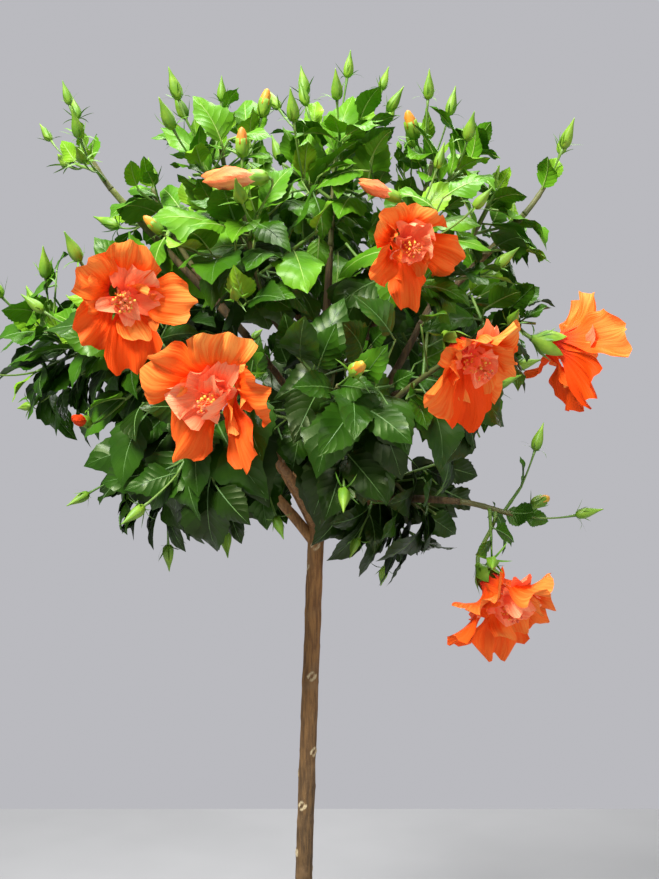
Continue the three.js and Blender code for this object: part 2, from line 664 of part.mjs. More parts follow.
// Joins the mass's pieces into one solid. A piece that a limb or another mass's bloom would touch, or
// that takes hold of nothing, is left out.
function massSolid({ mass, shoots, leaves, buds }, limbsGrown) {
  const others = blooms.filter((bloom) => bloom.mass !== mass.name);
  const forbidden = others.reduce((sum, bloom) => sum.add(bloomRoom(bloom)), limbsGrown);
  const [stem, ...side] = shoots.map((row, j) => {
    const bud = buds.find(({ shoot, ending }) => ending && shoot === j);
    return solidOf(spike(bud ? [...row, ...budStations(bud)] : row, 3));
  });
  let whole = stem;
  const join = (piece) => {
    if (!piece.intersect(forbidden).isEmpty()) return;
    const [main, scrap] = largestFirst(whole.add(piece));
    if (!scrap || scrap.volume() < SCRAP_VOLUME) whole = main;
  };
  side.forEach(join);
  for (const bud of buds.filter(({ ending }) => !ending)) {
    const foot = { place: bud.foot, radius: 0.8, way: bud.axis };
    join(solidOf(spike([foot, ...budStations(bud)], 3)));
  }
  for (const bloom of blooms.filter((one) => one.mass === mass.name)) {
    join(bloomSolids(bloom).reduce((sum, piece) => sum.add(piece), bloomStalk(bloom, shoots[0])));
  }
  for (const { points, frame } of leaves) join(bladeSolid(points, frame));
  return whole;
}

// ---------------------------------------------------------------- the whole plant

const plant = new THREE.Group();

function addPiece(name, geometry, material) {
  const mesh = new THREE.Mesh(geometry, material);
  mesh.name = name;
  plant.add(mesh);
}

addPiece("pot", turned(potProfile(), POT_FACETS), MATERIALS.pot);
addPiece("soil", turned(soilProfile(), POT_FACETS), MATERIALS.soil);

// Each limb is cut back from the ones before it, so that it meets its parent with a thin gap.
let limbsGrown = null;
for (const { name, curve, radiusAt, sides, steps } of limbs.values()) {
  let solid = solidOf(rod(curve, radiusAt, sides, steps));
  if (limbsGrown) {
    [solid] = largestFirst(solid.subtract(limbsGrown));
  }
  addPiece(name, geometryOf(solid), MATERIALS.bark);
  const grown = solidOf(rod(curve, (t) => radiusAt(t) + CLEARANCE, sides, steps));
  limbsGrown = limbsGrown ? limbsGrown.add(grown) : grown;
}

for (const mass of masses) {
  addPiece("foliage_" + mass.name, geometryOf(massSolid(growMass(mass), limbsGrown)), MATERIALS.leaf);
}

export default plant;
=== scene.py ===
import json
import math
from types import SimpleNamespace

import bmesh
import bpy
import numpy as np
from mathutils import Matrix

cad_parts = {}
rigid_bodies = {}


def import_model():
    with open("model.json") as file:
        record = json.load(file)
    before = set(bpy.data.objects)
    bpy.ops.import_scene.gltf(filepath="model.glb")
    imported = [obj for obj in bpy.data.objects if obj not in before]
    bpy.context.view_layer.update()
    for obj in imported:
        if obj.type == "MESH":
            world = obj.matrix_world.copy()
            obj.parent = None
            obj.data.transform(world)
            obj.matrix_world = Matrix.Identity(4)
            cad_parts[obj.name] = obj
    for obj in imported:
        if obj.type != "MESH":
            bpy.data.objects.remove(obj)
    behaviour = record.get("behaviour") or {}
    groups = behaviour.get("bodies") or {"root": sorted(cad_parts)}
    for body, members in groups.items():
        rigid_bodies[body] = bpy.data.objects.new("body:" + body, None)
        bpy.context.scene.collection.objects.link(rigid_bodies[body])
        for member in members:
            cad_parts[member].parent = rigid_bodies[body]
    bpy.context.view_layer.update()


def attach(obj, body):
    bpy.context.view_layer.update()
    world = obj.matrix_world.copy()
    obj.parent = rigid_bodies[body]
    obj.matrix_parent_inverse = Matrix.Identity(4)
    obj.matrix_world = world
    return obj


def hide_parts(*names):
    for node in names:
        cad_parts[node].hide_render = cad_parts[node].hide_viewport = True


# The looks of a hibiscus grown as a standard: bark, twigs, leaves, buds, blooms, pot and soil.
# The growing rule works in millimetres, and meshes are made from it in metres, +Z up, front to -Y.

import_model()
MM = 0.001

# ---------------- camera and light

EYE = (0.0244, -1.1489, 0.7622)
AIM = (0.0244, 0.0, 0.712)
WALL = (0.49, 0.49, 0.52, 1)  # what the camera sees behind the plant
ROOM = (0.215, 0.22, 0.23, 1)  # what lights it from all round
camera = bpy.data.objects.new("camera", bpy.data.cameras.new("camera"))
camera.data.lens = 54.1
camera.data.sensor_width = 36
camera.location = EYE
camera.rotation_euler = (math.pi / 2 - math.atan2(EYE[2] - AIM[2], AIM[1] - EYE[1]), 0, 0)
bpy.context.collection.objects.link(camera)
bpy.context.scene.camera = camera

world = bpy.data.worlds.new("studio")
bpy.context.scene.world = world
world.use_nodes = True
seen = world.node_tree.nodes.new("ShaderNodeLightPath")
tone = world.node_tree.nodes.new("ShaderNodeMix")
tone.data_type = "RGBA"
tone.inputs[6].default_value = ROOM
tone.inputs[7].default_value = WALL
world.node_tree.links.new(seen.outputs["Is Camera Ray"], tone.inputs[0])
world.node_tree.links.new(tone.outputs[2], world.node_tree.nodes["Background"].inputs["Color"])
bpy.context.scene.view_settings.view_transform = "Standard"


def soft_light(name, place, aim, size, watts):
    """A round lamp turned towards a place."""
    lamp = bpy.data.objects.new(name, bpy.data.lights.new(name, "AREA"))
    lamp.data.shape = "DISK"
    lamp.data.size = size
    lamp.data.energy = watts
    lamp.location = place
    way = np.subtract(aim, place)
    level = math.hypot(way[0], way[1])
    lamp.rotation_euler = (math.atan2(level, -way[2]), 0, math.atan2(-way[0], way[1]))
    bpy.context.collection.objects.link(lamp)


soft_light("key", (-0.8, -1.3, 2.2), (0, 0, 0.8), 0.7, 80)
soft_light("fill", (1.6, -1.2, 1.1), (0, 0, 0.75), 1.2, 11)
soft_light("top", (0.2, 0.3, 2.4), (0, 0, 0.8), 0.9, 34)
soft_light("back", (0.4, 1.8, 1.3), (0, 0, 0.75), 1.2, 10)

# ---------------- sizes shared with the part

POT_HEIGHT = 215
POT_RIM_RADIUS = 128
POT_FOOT_RADIUS = 92
POT_WALL = 8
POT_FLOOR = 12
RIM_HEIGHT = 34
RIM_PROUD = 6
SOIL_DEPTH = 26  # from the rim's top down to the soil
CLEARANCE = 0.3  # between pieces that touch
SOIL_TOP = POT_HEIGHT - SOIL_DEPTH
TRUNK_FOOT = SOIL_TOP + CLEARANCE
TRUNK_TOP = 668
TRUNK_LEAN = 14  # how far the fork stands to +X of the foot
TRUNK_RADIUS = 7.6
TRUNK_TOP_RADIUS = 6.9
FLARE_RADIUS = 7  # added at the soil
FLARE_HEIGHT = 20  # over which the flare fades to a third
BOUGH_ROOT_RADIUS = 4.8
LIMB_ROOT_RADIUS = 3.5  # a bough that leaves another bough
LIMB_TIP_RADIUS = 2.6
LEADER_ROOT_RADIUS = 6.2
CROWN_CORE = np.array((14.0, 0, 700))  # where the head's boughs seem to come from
CROWN_HEART = np.array((10.0, 20, 790))  # the middle of the head, which leaves face away from
GOLDEN_TURN = 137.508
LEAF_TURN = 144  # two fifths of a turn from leaf to leaf
LEAF_STEP = 12  # between leaves along a shoot
LEAF_LENGTH = 98  # stalk and blade of a full-grown leaf
YOUNG_LEAF_LENGTH = 44
LEAF_GROWS_OVER = 50  # from a shoot's tip back to its first full-grown leaf
LEAF_WIDTH_SHARE = 0.56
LEAF_MIDDLE = 0.56  # where a leaf is widest, as a share of its length
LEAF_ARCH = 0.05  # how high it stands there
LEAF_SCALES = (1, 0.8, 0.62)  # tried in turn where a leaf lacks room
LEAF_SWINGS = (0, 40, -40, 80, -80, 120, -120)
BUD_LENGTH = 21
BUD_STALKS = (24, 44)  # the shortest and the longest
BUD_STALK_SCALES = (1, 0.72, 0.46)
HIGH_SPREAD = 30  # degrees from a mass's axis to its highest shoot, where the mass lies level
LOW_SPREAD = 112  # and to its lowest one
HIGH_GATHER = 18  # how many degrees less that is where the mass rises steeply
LOW_GATHER = 24
HIGH_NODE = 0.8  # the share of its stem at which a mass's highest shoot leaves it
LOW_NODE = 0.12
SHOOT_REACH = (0.62, 0.82)  # as a share of the mass's radius
SHOOT_SCALES = (1, 0.82, 0.64, 0.46)
SHORTEST_SHOOT = 24
STALKED_SHOOTS = 3  # of a rising mass, from the top, that bear a second bud
LEAF_OVERHANG = 28  # how far a leaf may reach past its mass's ball
BUD_OVERHANG = 46
SHYNESS = 1.2  # from a mass's foliage to the border of its own space
LIMB_ROOM = 2.2  # from a limb's surface to the foliage round it
PETAL_LENGTH = 61
PETAL_START = 16  # degrees between a petal's foot and the bloom's axis
COLUMN_REACH = 52
CALYX_LENGTH = 20
CALYX_RADIUS = 7.5
CALYX_TO_EYE = 30
BLOOM_REACH = 56  # from a bloom's axis to the side of the room that it keeps to itself
BLOOM_DEPTH = 62  # from its foot to the front of that room

# ---------------- sizes of the finer twigs

SPARSE_LEAF_SIZE = 0.7  # masses with smaller leaves than this stay open, with no side twigs
TWIG_STEP = 20  # between side twigs along a shoot
TWIG_SPANS = (20, 48)
TWIG_OVERHANG = 8
TWIG_LEAVES = 3
TWIG_LEAF_STEP = 11
TWIG_LEAF_LENGTHS = (36, 84)
TWIG_LEAF_SCALES = (1, 0.72)
ANY_PHASE = (0, 6.28)  # of a wave, in radians
ANY_TURN = (0, 6.283)

# ---------------- masses of foliage, blooms and marked buds

MASSES = [  # name, parent, share of the parent, centre, radius, shoots, rise, size of its leaves
    ("top", "trunk", 1, (28, -14, 922), 80, 8, 0.75, 0.86),
    ("left", "trunk", 0.9, (-184, -22, 780), 74, 7, 0.3, 0.9),
    ("droop", "trunk", 0.955, (158, -52, 654), 48, 3, 0.2, 0.6),
    ("front_left", "trunk", 0.93, (-60, -134, 734), 80, 5, 0, 1),
    ("front_right", "trunk", 0.975, (100, -106, 764), 72, 5, 0.1, 1),
    ("back_left", "trunk", 0.925, (-122, 106, 790), 88, 6, 0.35, 1),
    ("back_right", "trunk", 0.965, (112, 106, 800), 84, 6, 0.35, 1),
    ("right", "top", 0.12, (156, -8, 804), 60, 4, 0.2, 0.9),
    ("upper_left", "top", 0.2, (-112, -14, 890), 66, 6, 0.6, 0.86),
    ("front", "top", 0.16, (26, -122, 748), 84, 6, -0.15, 1),
    ("upper_right", "right", 0.4, (152, 4, 890), 60, 5, 0.6, 0.86),
    ("side_left", "left", 0.36, (-116, -112, 790), 74, 5, 0.3, 1),
    ("low_left", "left", 0.25, (-104, -30, 700), 70, 5, -0.35, 1),
    ("low_right", "droop", 0.3, (80, -6, 670), 62, 5, -0.35, 0.95),
    ("top_left", "top", 0.55, (-58, -28, 914), 76, 6, 0.65, 0.86),
    ("top_right", "top", 0.62, (102, -6, 908), 74, 6, 0.65, 0.86),
    ("front_upper", "top", 0.34, (82, -86, 852), 76, 5, 0.4, 0.95),
    ("front_top", "top", 0.44, (-34, -98, 852), 78, 6, 0.4, 0.95),
    ("back_top", "top", 0.5, (8, 90, 896), 84, 6, 0.55, 0.95),
    ("back_low", "back_left", 0.22, (-4, 124, 730), 82, 6, -0.15, 1),
    ("spray_left", "upper_left", 0.6, (-172, -20, 940), 34, 3, 0.5, 0.6),
    ("spray_right", "upper_right", 0.6, (204, 0, 920), 32, 3, 0.4, 0.66),
]
BLOOMS = [  # mass, eye, turn, tilt, size
    ("side_left", (-130, -164, 826), 286, -18, 1.04),
    ("front_left", (-54, -206, 756), 242, -26, 1.14),
    ("front_upper", (80, -132, 868), 298, -16, 0.96),
    ("front_right", (130, -142, 782), 308, -34, 1.06),
    ("right", (222, -40, 790), 24, -14, 1.14),
    ("droop", (162, -84, 590), 304, -38, 1.12),
    ("back_left", (-130, 176, 816), 118, -8, 1.02),
    ("back_right", (138, 176, 790), 58, -16, 1.04),
]
FURLED = [  # across, up, size, turn, tilt, paleness: the bud nearest that place is a furled bloom
    (-12, 926, 0.95, 200, -4, 1),
    (-168, 755, 0.5, 250, 10, 0),
    (74, 933, 0.7, 200, 20, 0.8),
]
COLOURED = [  # across, up: the bud nearest that place only shows its colour
    (-37, 980), (-95, 903), (3, 918), (37, 844), (84, 976), (208, 924), (-145, 702), (197, 670),
]

# ---------------- numbers and vectors

UP = np.array((0.0, 0.0, 1.0))


def seeded(seed):
    """Numbers that look random and are the same every time."""
    state = seed * 2654435761 % 4294967296

    def draw(low=0.0, high=1.0):
        nonlocal state
        state = (state * 1664525 + 1013904223) % 4294967296
        return low + (high - low) * state / 4294967296

    for _ in range(4):
        draw()
    return draw


def mix(a, b, t):
    return a + (b - a) * t


def smooth(t):
    t = np.clip(t, 0, 1)
    return t * t * (3 - 2 * t)


def unit(v):
    return v / np.sqrt((v * v).sum(-1, keepdims=True))


def cross(a, b):
    ax, ay, az = a[..., 0], a[..., 1], a[..., 2]
    bx, by, bz = b[..., 0], b[..., 1], b[..., 2]
    return np.stack((ay * bz - az * by, az * bx - ax * bz, ax * by - ay * bx), -1)


def radians(angle):
    return angle * math.pi / 180


def facing(turn, tilt):
    """The direction at a turn from +X and a tilt above the level, in degrees."""
    turn, tilt = radians(turn), radians(tilt)
    level = math.cos(tilt)
    return np.array((level * math.cos(turn), level * math.sin(turn), math.sin(tilt)))


def across(way):
    """Two directions square to one, the first as level as it can be."""
    helper = UP if abs(way[2]) < 0.96 else np.array((0.0, 1, 0))
    side = unit(cross(helper, way))
    return side, unit(cross(way, side))


def turned_out(way, turn, angle):
    """A direction leant off another by an angle, towards a turn round it, in degrees."""
    side, over = across(way)
    turn, angle = radians(turn), radians(angle)
    spread = math.sin(angle)
    return way * math.cos(angle) + side * spread * math.cos(turn) + over * spread * math.sin(turn)


class Curve:
    """A cubic curve from its first point to its last."""

    def __init__(self, *points):
        self.points = [np.asarray(point, float) for point in points]

    def at(self, t):
        a, b, c, d = self.points
        t = np.asarray(t, float)[..., None]
        s = 1 - t
        return s**3 * a + 3 * s * s * t * b + 3 * s * t * t * c + t**3 * d

    def way(self, t):
        t = np.asarray(t, float)
        return unit(self.at(np.minimum(t + 1e-4, 1)) - self.at(np.maximum(t - 1e-4, 0)))


def curve_of(start, leaving, arriving, end):
    third = np.linalg.norm(end - start) / 3
    return Curve(start, start + leaving * third, end - arriving * third, end)


def on_row(places, t):
    """The place and the way at a share of a row of places."""
    step = min(t * (len(places) - 1), len(places) - 1.001)
    i = int(step)
    return places[i] + (places[i + 1] - places[i]) * (step - i), unit(places[i + 1] - places[i])


def row_length(places):
    return float(np.linalg.norm(np.diff(places, axis=0), axis=1).sum())


# ---------------- limbs, masses and blooms

LIMB_STEPS = 16


def trunk_radius(t):
    height = t * (TRUNK_TOP - TRUNK_FOOT)
    return mix(TRUNK_RADIUS, TRUNK_TOP_RADIUS, t) + FLARE_RADIUS * np.exp(-height / FLARE_HEIGHT)


def limb_of(curve, radius_at):
    t = np.linspace(0, 1, LIMB_STEPS + 1)
    return SimpleNamespace(curve=curve, radius_at=radius_at, places=curve.at(t), radii=radius_at(t))


def bough_to(mass, parent):
    """A limb that leaves its parent and ends where it enters its mass."""
    is_leader = mass.at == 1
    start = parent.curve.at(mass.at)
    parent_way = parent.curve.way(min(mass.at, 0.999))
    end = mass.centre - 0.55 * mass.radius * mass.outwards
    straight = unit(end - start)
    leaving = parent_way if is_leader else unit(straight + 0.35 * parent_way)
    arriving = unit(straight + 0.8 * mass.outwards)
    root = LIMB_ROOT_RADIUS
    if mass.parent == "trunk":
        root = LEADER_ROOT_RADIUS if is_leader else BOUGH_ROOT_RADIUS
    foot = start + CLEARANCE * parent_way if is_leader else start
    curve = curve_of(foot, leaving, arriving, end)
    return limb_of(curve, lambda t: mix(root, LIMB_TIP_RADIUS, t))


masses = []
for index, (name, parent, at, centre, radius, shoots, rise, leaf_size) in enumerate(MASSES):
    centre = np.array(centre, float)
    masses.append(SimpleNamespace(
        index=index, name=name, parent=parent, at=at, centre=centre, radius=radius, shoots=shoots,
        rise=rise, leaf_size=leaf_size, outwards=unit(centre - CROWN_CORE)))

trunk_height = TRUNK_TOP - TRUNK_FOOT
trunk_curve = Curve(
    (0, 0, TRUNK_FOOT),
    (0, 0, TRUNK_FOOT + trunk_height / 3),
    (TRUNK_LEAN * 0.62, 3, TRUNK_FOOT + 2 * trunk_height / 3),
    (TRUNK_LEAN, 0, TRUNK_TOP),
)
limbs = {"trunk": limb_of(trunk_curve, trunk_radius)}
for mass in masses:
    limbs[mass.name] = bough_to(mass, limbs[mass.parent])

blooms = []
for index, (mass_name, eye, turn, tilt, size) in enumerate(BLOOMS):
    axis = facing(turn, tilt)
    foot = np.array(eye, float) - axis * CALYX_TO_EYE * size
    blooms.append(SimpleNamespace(index=index, mass=mass_name, axis=axis, size=size, foot=foot))

CENTRES = np.array([mass.centre for mass in masses])
RADII = np.array([mass.radius for mass in masses])
BETWEEN = np.linalg.norm(CENTRES[:, None] - CENTRES[None], axis=2)
LIMB_FROM = np.concatenate([limb.places[:-1] for limb in limbs.values()])
LIMB_SPAN = np.concatenate([np.diff(limb.places, axis=0) for limb in limbs.values()])
LIMB_SPAN_SQUARED = (LIMB_SPAN**2).sum(1)
LIMB_THICK = np.concatenate([limb.radii[:-1] for limb in limbs.values()])
LIMB_TAPER = np.concatenate([np.diff(limb.radii) for limb in limbs.values()])


def are_free(points, mass, over=0.0):
    """Whether each point is in the mass's own room, clear of limbs and blooms."""
    power = ((points[:, None] - CENTRES) ** 2).sum(-1) - RADII**2
    own = power[:, mass.index]
    room = power - own[:, None] >= 2 * SHYNESS * BETWEEN[mass.index]
    room[:, mass.index] = (mass.radius + over) ** 2 - mass.radius**2 >= own
    if not room.all():
        return room.all(1)
    offset = points[:, None] - LIMB_FROM
    t = np.clip((offset * LIMB_SPAN).sum(-1) / LIMB_SPAN_SQUARED, 0, 1)
    apart = np.linalg.norm(offset - t[..., None] * LIMB_SPAN, axis=-1)
    free = (apart >= LIMB_THICK + LIMB_TAPER * t + LIMB_ROOM).all(1)
    for bloom in blooms:
        offset = points - bloom.foot
        ahead = offset @ bloom.axis / bloom.size
        beside = np.sqrt(np.maximum(0, (offset**2).sum(1) / bloom.size**2 - ahead**2))
        in_front = (ahead > BLOOM_DEPTH) & (beside < 0.8 * BLOOM_REACH)
        cup_radius = np.minimum(BLOOM_REACH, 10 + 1.1 * ahead)
        in_cup = (ahead <= BLOOM_DEPTH) & (ahead > -4) & (beside < cup_radius)
        free &= ~(in_front | in_cup)
    return free


# ---------------- how leaves are placed


def leaf_frame(foot, way, age, length, hang):
    """Where a leaf stands and how it is turned, with its face towards the light."""
    forward = unit(way - UP * hang)
    light = UP + 2 * unit(foot - CROWN_HEART)
    face = unit(light - forward * (light @ forward))
    return SimpleNamespace(foot=foot, forward=forward, face=face, side=cross(face, forward),
                           length=length, droop=mix(0.25, 0.6, age), age=age)


def leaf_points(leaf):
    """A leaf's foot, middle and tip, and the two ends of its widest line."""
    half = leaf.length * LEAF_WIDTH_SHARE / 2
    arch = leaf.face * LEAF_ARCH * leaf.length
    middle = leaf.foot + leaf.forward * LEAF_MIDDLE * leaf.length + arch
    tip = middle + unit(leaf.forward - leaf.face * leaf.droop) * (1 - LEAF_MIDDLE) * leaf.length
    return np.array((leaf.foot, middle, tip, middle + leaf.side * half, middle - leaf.side * half))


def leaf_is_free(points, mass):
    foot, middle, tip, left, right = points
    tested = [middle, tip, left, right, (middle + tip) / 2, (foot + middle) / 2]
    for edge in (left, right):
        tested += [(edge + tip) / 2, (edge + middle) / 2]
        tested += [mix(edge, foot, 0.35), mix(edge, foot, 0.65)]
    return bool(are_free(np.array(tested), mass, LEAF_OVERHANG).all())


def blade_triangles(points):
    foot, middle, tip, left, right = points
    return np.array(((left, right, mix(foot, middle, 0.08)), (left, right, tip)))


def blade_edges(points):
    foot, _, tip, left, right = points
    return np.array(((foot, left), (left, tip), (tip, right), (right, foot), (left, right)))


def any_hit(lines, triangles):
    """Whether any line goes through any triangle."""
    start = lines[:, None, 0]
    way = lines[:, None, 1] - start
    a, b, c = triangles[None, :, 0], triangles[None, :, 1], triangles[None, :, 2]
    normal = cross(b - a, c - a)
    lean = (way * normal).sum(-1)
    sign = np.sign(lean)
    lean = np.abs(lean)
    offset = start - a
    over_b = sign * (way * cross(offset, c - a)).sum(-1)
    over_c = sign * (way * cross(b - a, offset)).sum(-1)
    reach = -sign * (offset * normal).sum(-1)
    inside = (over_b >= 0) & (over_c >= 0) & (over_b + over_c <= lean)
    hit = (sign != 0) & inside & (reach >= 0) & (reach < lean)
    return bool(hit.any())


class Foliage:
    """The rows, buds and leaves of one mass, and the lines that leaves keep off."""

    def __init__(self, mass):
        self.mass = mass
        self.rows, self.buds, self.leaves, self.lines = [], [], [], []
        self.triangles, self.edges, self.middles = [], [], []

    def add_row(self, places):
        self.lines += list(zip(places[:-1], places[1:]))

    def is_taken(self, points):
        triangles = blade_triangles(points)
        if any_hit(np.array(self.lines), triangles):
            return True
        if not self.leaves:
            return False
        near = np.linalg.norm(np.array(self.middles) - points[1], axis=1) <= LEAF_LENGTH * 1.3
        if not near.any():
            return False
        others = np.array(self.triangles)[near].reshape(-1, 3, 3)
        edges = np.array(self.edges)[near].reshape(-1, 2, 3)
        return any_hit(blade_edges(points), others) or any_hit(edges, triangles)

    def crosses_leaf(self, line):
        return bool(self.leaves) and any_hit(line, np.array(self.triangles).reshape(-1, 3, 3))

    def put_leaf(self, place, way, turn, age, size, hang, scales=LEAF_SCALES):
        """Adds a leaf where it finds room, swung round or smaller if it has to be."""
        for scale in scales:
            for swing in LEAF_SWINGS:
                heading = turned_out(way, turn + swing, mix(32, 74, age))
                leaf = leaf_frame(place, heading, age, size * scale, hang)
                points = leaf_points(leaf)
                if not leaf_is_free(points, self.mass) or self.is_taken(points):
                    continue
                self.leaves.append(leaf)
                self.triangles.append(blade_triangles(points))
                self.edges.append(blade_edges(points))
                self.middles.append(points[1])
                return


def bud_that_fits(foot, way, mass, random):
    """A bud on its stalk, which is shorter where there is no room."""
    stalk = random(*BUD_STALKS) * (1 + 0.8 * max(0, mass.rise))
    size = random(0.8, 1.15)
    axis = unit(way + UP * (0.2 + mass.rise))
    for shorter in BUD_STALK_SCALES:
        head = foot + unit(way + axis) * stalk * shorter
        top = head + axis * BUD_LENGTH * size
        if are_free(np.array((head, top)), mass, BUD_OVERHANG).all():
            return SimpleNamespace(foot=foot, way=way, head=head, axis=axis, size=size, top=top)
    return None


def leaf_row(foliage, row, j, later):
    """Leaves along a shoot, from its tip back. They get older and larger from there."""
    mass = foliage.mass
    random = seeded(1000 + 40 * mass.index + j)
    length = row_length(row)
    for i in range(int(0.86 * length / LEAF_STEP)):
        age = min(1, i * LEAF_STEP / LEAF_GROWS_OVER)
        size = mix(YOUNG_LEAF_LENGTH, LEAF_LENGTH, age) * mass.leaf_size * random(0.85, 1.12)
        hang = mix(0, 1.4, age) - 0.4 * mass.rise + random(-0.3, 0.3)
        if (i % 3 == 2) == later:
            place, way = on_row(row, 0.96 - i * LEAF_STEP / length)
            foliage.put_leaf(place, way, LEAF_TURN * i + 77 * j, age, size, hang)


def grow_mass(mass):
    """A mass's stem, the shoots that leave it in a spiral, and all that grows on them."""
    bough = limbs[mass.name]
    random = seeded(10 + mass.index)
    foliage = Foliage(mass)
    way = bough.curve.way(1)
    root = bough.curve.at(1) + way * CLEARANCE
    lifted = unit(mass.outwards + UP * mass.rise)
    top = mass.centre + lifted * 0.6 * mass.radius
    stem = curve_of(root, way, lifted, top).at(np.linspace(0, 1, 4))
    rows = [stem]
    rise = max(0, mass.rise)
    highest = HIGH_SPREAD - HIGH_GATHER * rise
    lowest = LOW_SPREAD - LOW_GATHER * rise
    for j in range(mass.shoots):
        share = (j + 0.5) / mass.shoots
        spread = mix(highest, lowest, share) + random(-10, 10)
        heading = turned_out(lifted, GOLDEN_TURN * j + 40 * mass.index, spread)
        start, _ = on_row(stem, mix(HIGH_NODE, LOW_NODE, share))
        reach = random(*SHOOT_REACH)
        for shorter in SHOOT_SCALES:
            end = mass.centre + heading * reach * shorter * mass.radius
            samples = start + (end - start) * np.linspace(0.15, 1, 9)[:, None]
            if np.linalg.norm(end - start) >= SHORTEST_SHOOT and are_free(samples, mass).all():
                rows.append(np.array((start, end)))
                break
    dress(foliage, rows)
    return foliage


def dress(foliage, rows):
    """Buds at the shoots' ends, then leaves, then side twigs in the room that is left."""
    mass = foliage.mass
    random = seeded(700 + mass.index)
    foliage.rows = [(row, 0) for row in rows]
    for j, row in enumerate(rows):
        foliage.add_row(row)
        place, way = on_row(row, 1)
        first = bud_that_fits(place, turned_out(way, 50 * j, 12), mass, random)
        place, way = on_row(row, 0.7)
        second = bud_that_fits(place, turned_out(way, 50 * j + 180, 34), mass, random)
        borne = (first, second) if mass.rise > 0.3 and j < STALKED_SHOOTS else (first,)
        foliage.buds += [bud for bud in borne if bud]
    for bud in foliage.buds:
        foliage.add_row([bud.foot, bud.head, bud.top])
    for later in (False, True):
        for j, row in enumerate(rows):
            leaf_row(foliage, row, j, later)
    if mass.leaf_size > SPARSE_LEAF_SIZE:
        grow_twigs(foliage, rows)


def grow_twigs(foliage, rows):
    """Fine side twigs, each kept only if a leaf finds room on it."""
    mass = foliage.mass
    random = seeded(3000 + mass.index)
    for j, row in enumerate(rows):
        length = row_length(row)
        for k in range(int(length / TWIG_STEP)):
            place, way = on_row(row, max(0.05, 0.9 - (k + 0.5) * TWIG_STEP / length))
            span = random(*TWIG_SPANS)
            heading = turned_out(way, GOLDEN_TURN * k + 90 * j, random(40, 70))
            heading = unit(heading + UP * random(0, 0.4))
            bow = random(-0.1, 0.25)
            end = place + heading * span
            twig = np.array((place, (place + end) / 2 - UP * bow * 6, end))
            samples = place + (end - place) * np.array((0.3, 0.6, 1))[:, None]
            free = are_free(samples, mass, TWIG_OVERHANG).all()
            if not free or foliage.crosses_leaf(np.array([(place + heading * 2, end)])):
                continue
            before = len(foliage.leaves)
            for i in range(TWIG_LEAVES):
                age = min(1, 0.2 + 0.4 * i)
                size = mix(*TWIG_LEAF_LENGTHS, age) * mass.leaf_size * random(0.85, 1.15)
                hang = mix(0.1, 1.0, age) - 0.3 * mass.rise + random(-0.3, 0.3)
                spot, spot_way = on_row(twig, max(0.1, 0.97 - i * TWIG_LEAF_STEP / span))
                turn = LEAF_TURN * i + 61 * k
                foliage.put_leaf(spot, spot_way, turn, age, size, hang, TWIG_LEAF_SCALES)
            if len(foliage.leaves) > before:
                foliage.rows.append((twig, 1))
                foliage.add_row(twig)


foliages = [grow_mass(mass) for mass in masses]

# ---------------- shapes and pieces


def shape_of(build):
    """The points and faces of a small shape that mesh operators make."""
    bm = bmesh.new()
    build(bm)
    bm.verts.index_update()
    shape = SimpleNamespace(
        rest=np.array([tuple(vert.co) for vert in bm.verts]),
        loops=np.array([vert.index for face in bm.faces for vert in face.verts]),
        sizes=np.array([len(face.verts) for face in bm.faces]))
    bm.free()
    return shape


def turn_profile(bm, profile, steps):
    """Spins a row of (radius, height) points about +Z, closed at the poles."""
    verts = [bm.verts.new((radius, 0, height)) for radius, height in profile]
    edges = [bm.edges.new(pair) for pair in zip(verts, verts[1:])]
    bmesh.ops.spin(bm, geom=verts + edges, cent=(0, 0, 0), axis=(0, 0, 1), angle=2 * math.pi,
                   steps=steps, use_merge=True)
    bmesh.ops.remove_doubles(bm, verts=bm.verts[:], dist=1e-6)
    bmesh.ops.recalc_face_normals(bm, faces=bm.faces[:])


def sheet_shape(wide, long):
    """A flat grid, with each point's v from -1 to 1 across it and u from 0 to 1 along it."""
    shape = shape_of(lambda bm: bmesh.ops.create_grid(bm, x_segments=wide, y_segments=long, size=1))
    shape.v, shape.u = shape.rest[:, 0], (shape.rest[:, 1] + 1) / 2
    return shape


def rod_shape(sides, steps):
    """A capped rod of radius 1 from height 0 to 1."""

    def build(bm):
        bmesh.ops.create_cone(bm, cap_ends=True, segments=sides, radius1=1, radius2=1, depth=1)
        bmesh.ops.translate(bm, verts=bm.verts[:], vec=(0, 0, 0.5))
        for k in range(1, steps):
            bmesh.ops.bisect_plane(bm, geom=bm.verts[:] + bm.edges[:] + bm.faces[:],
                                   plane_co=(0, 0, k / steps), plane_no=(0, 0, 1))

    return shape_of(build)


def turned_shape(profile, steps):
    """A small shape spun from a row of (radius, height) points."""
    return shape_of(lambda bm: turn_profile(bm, profile, steps))


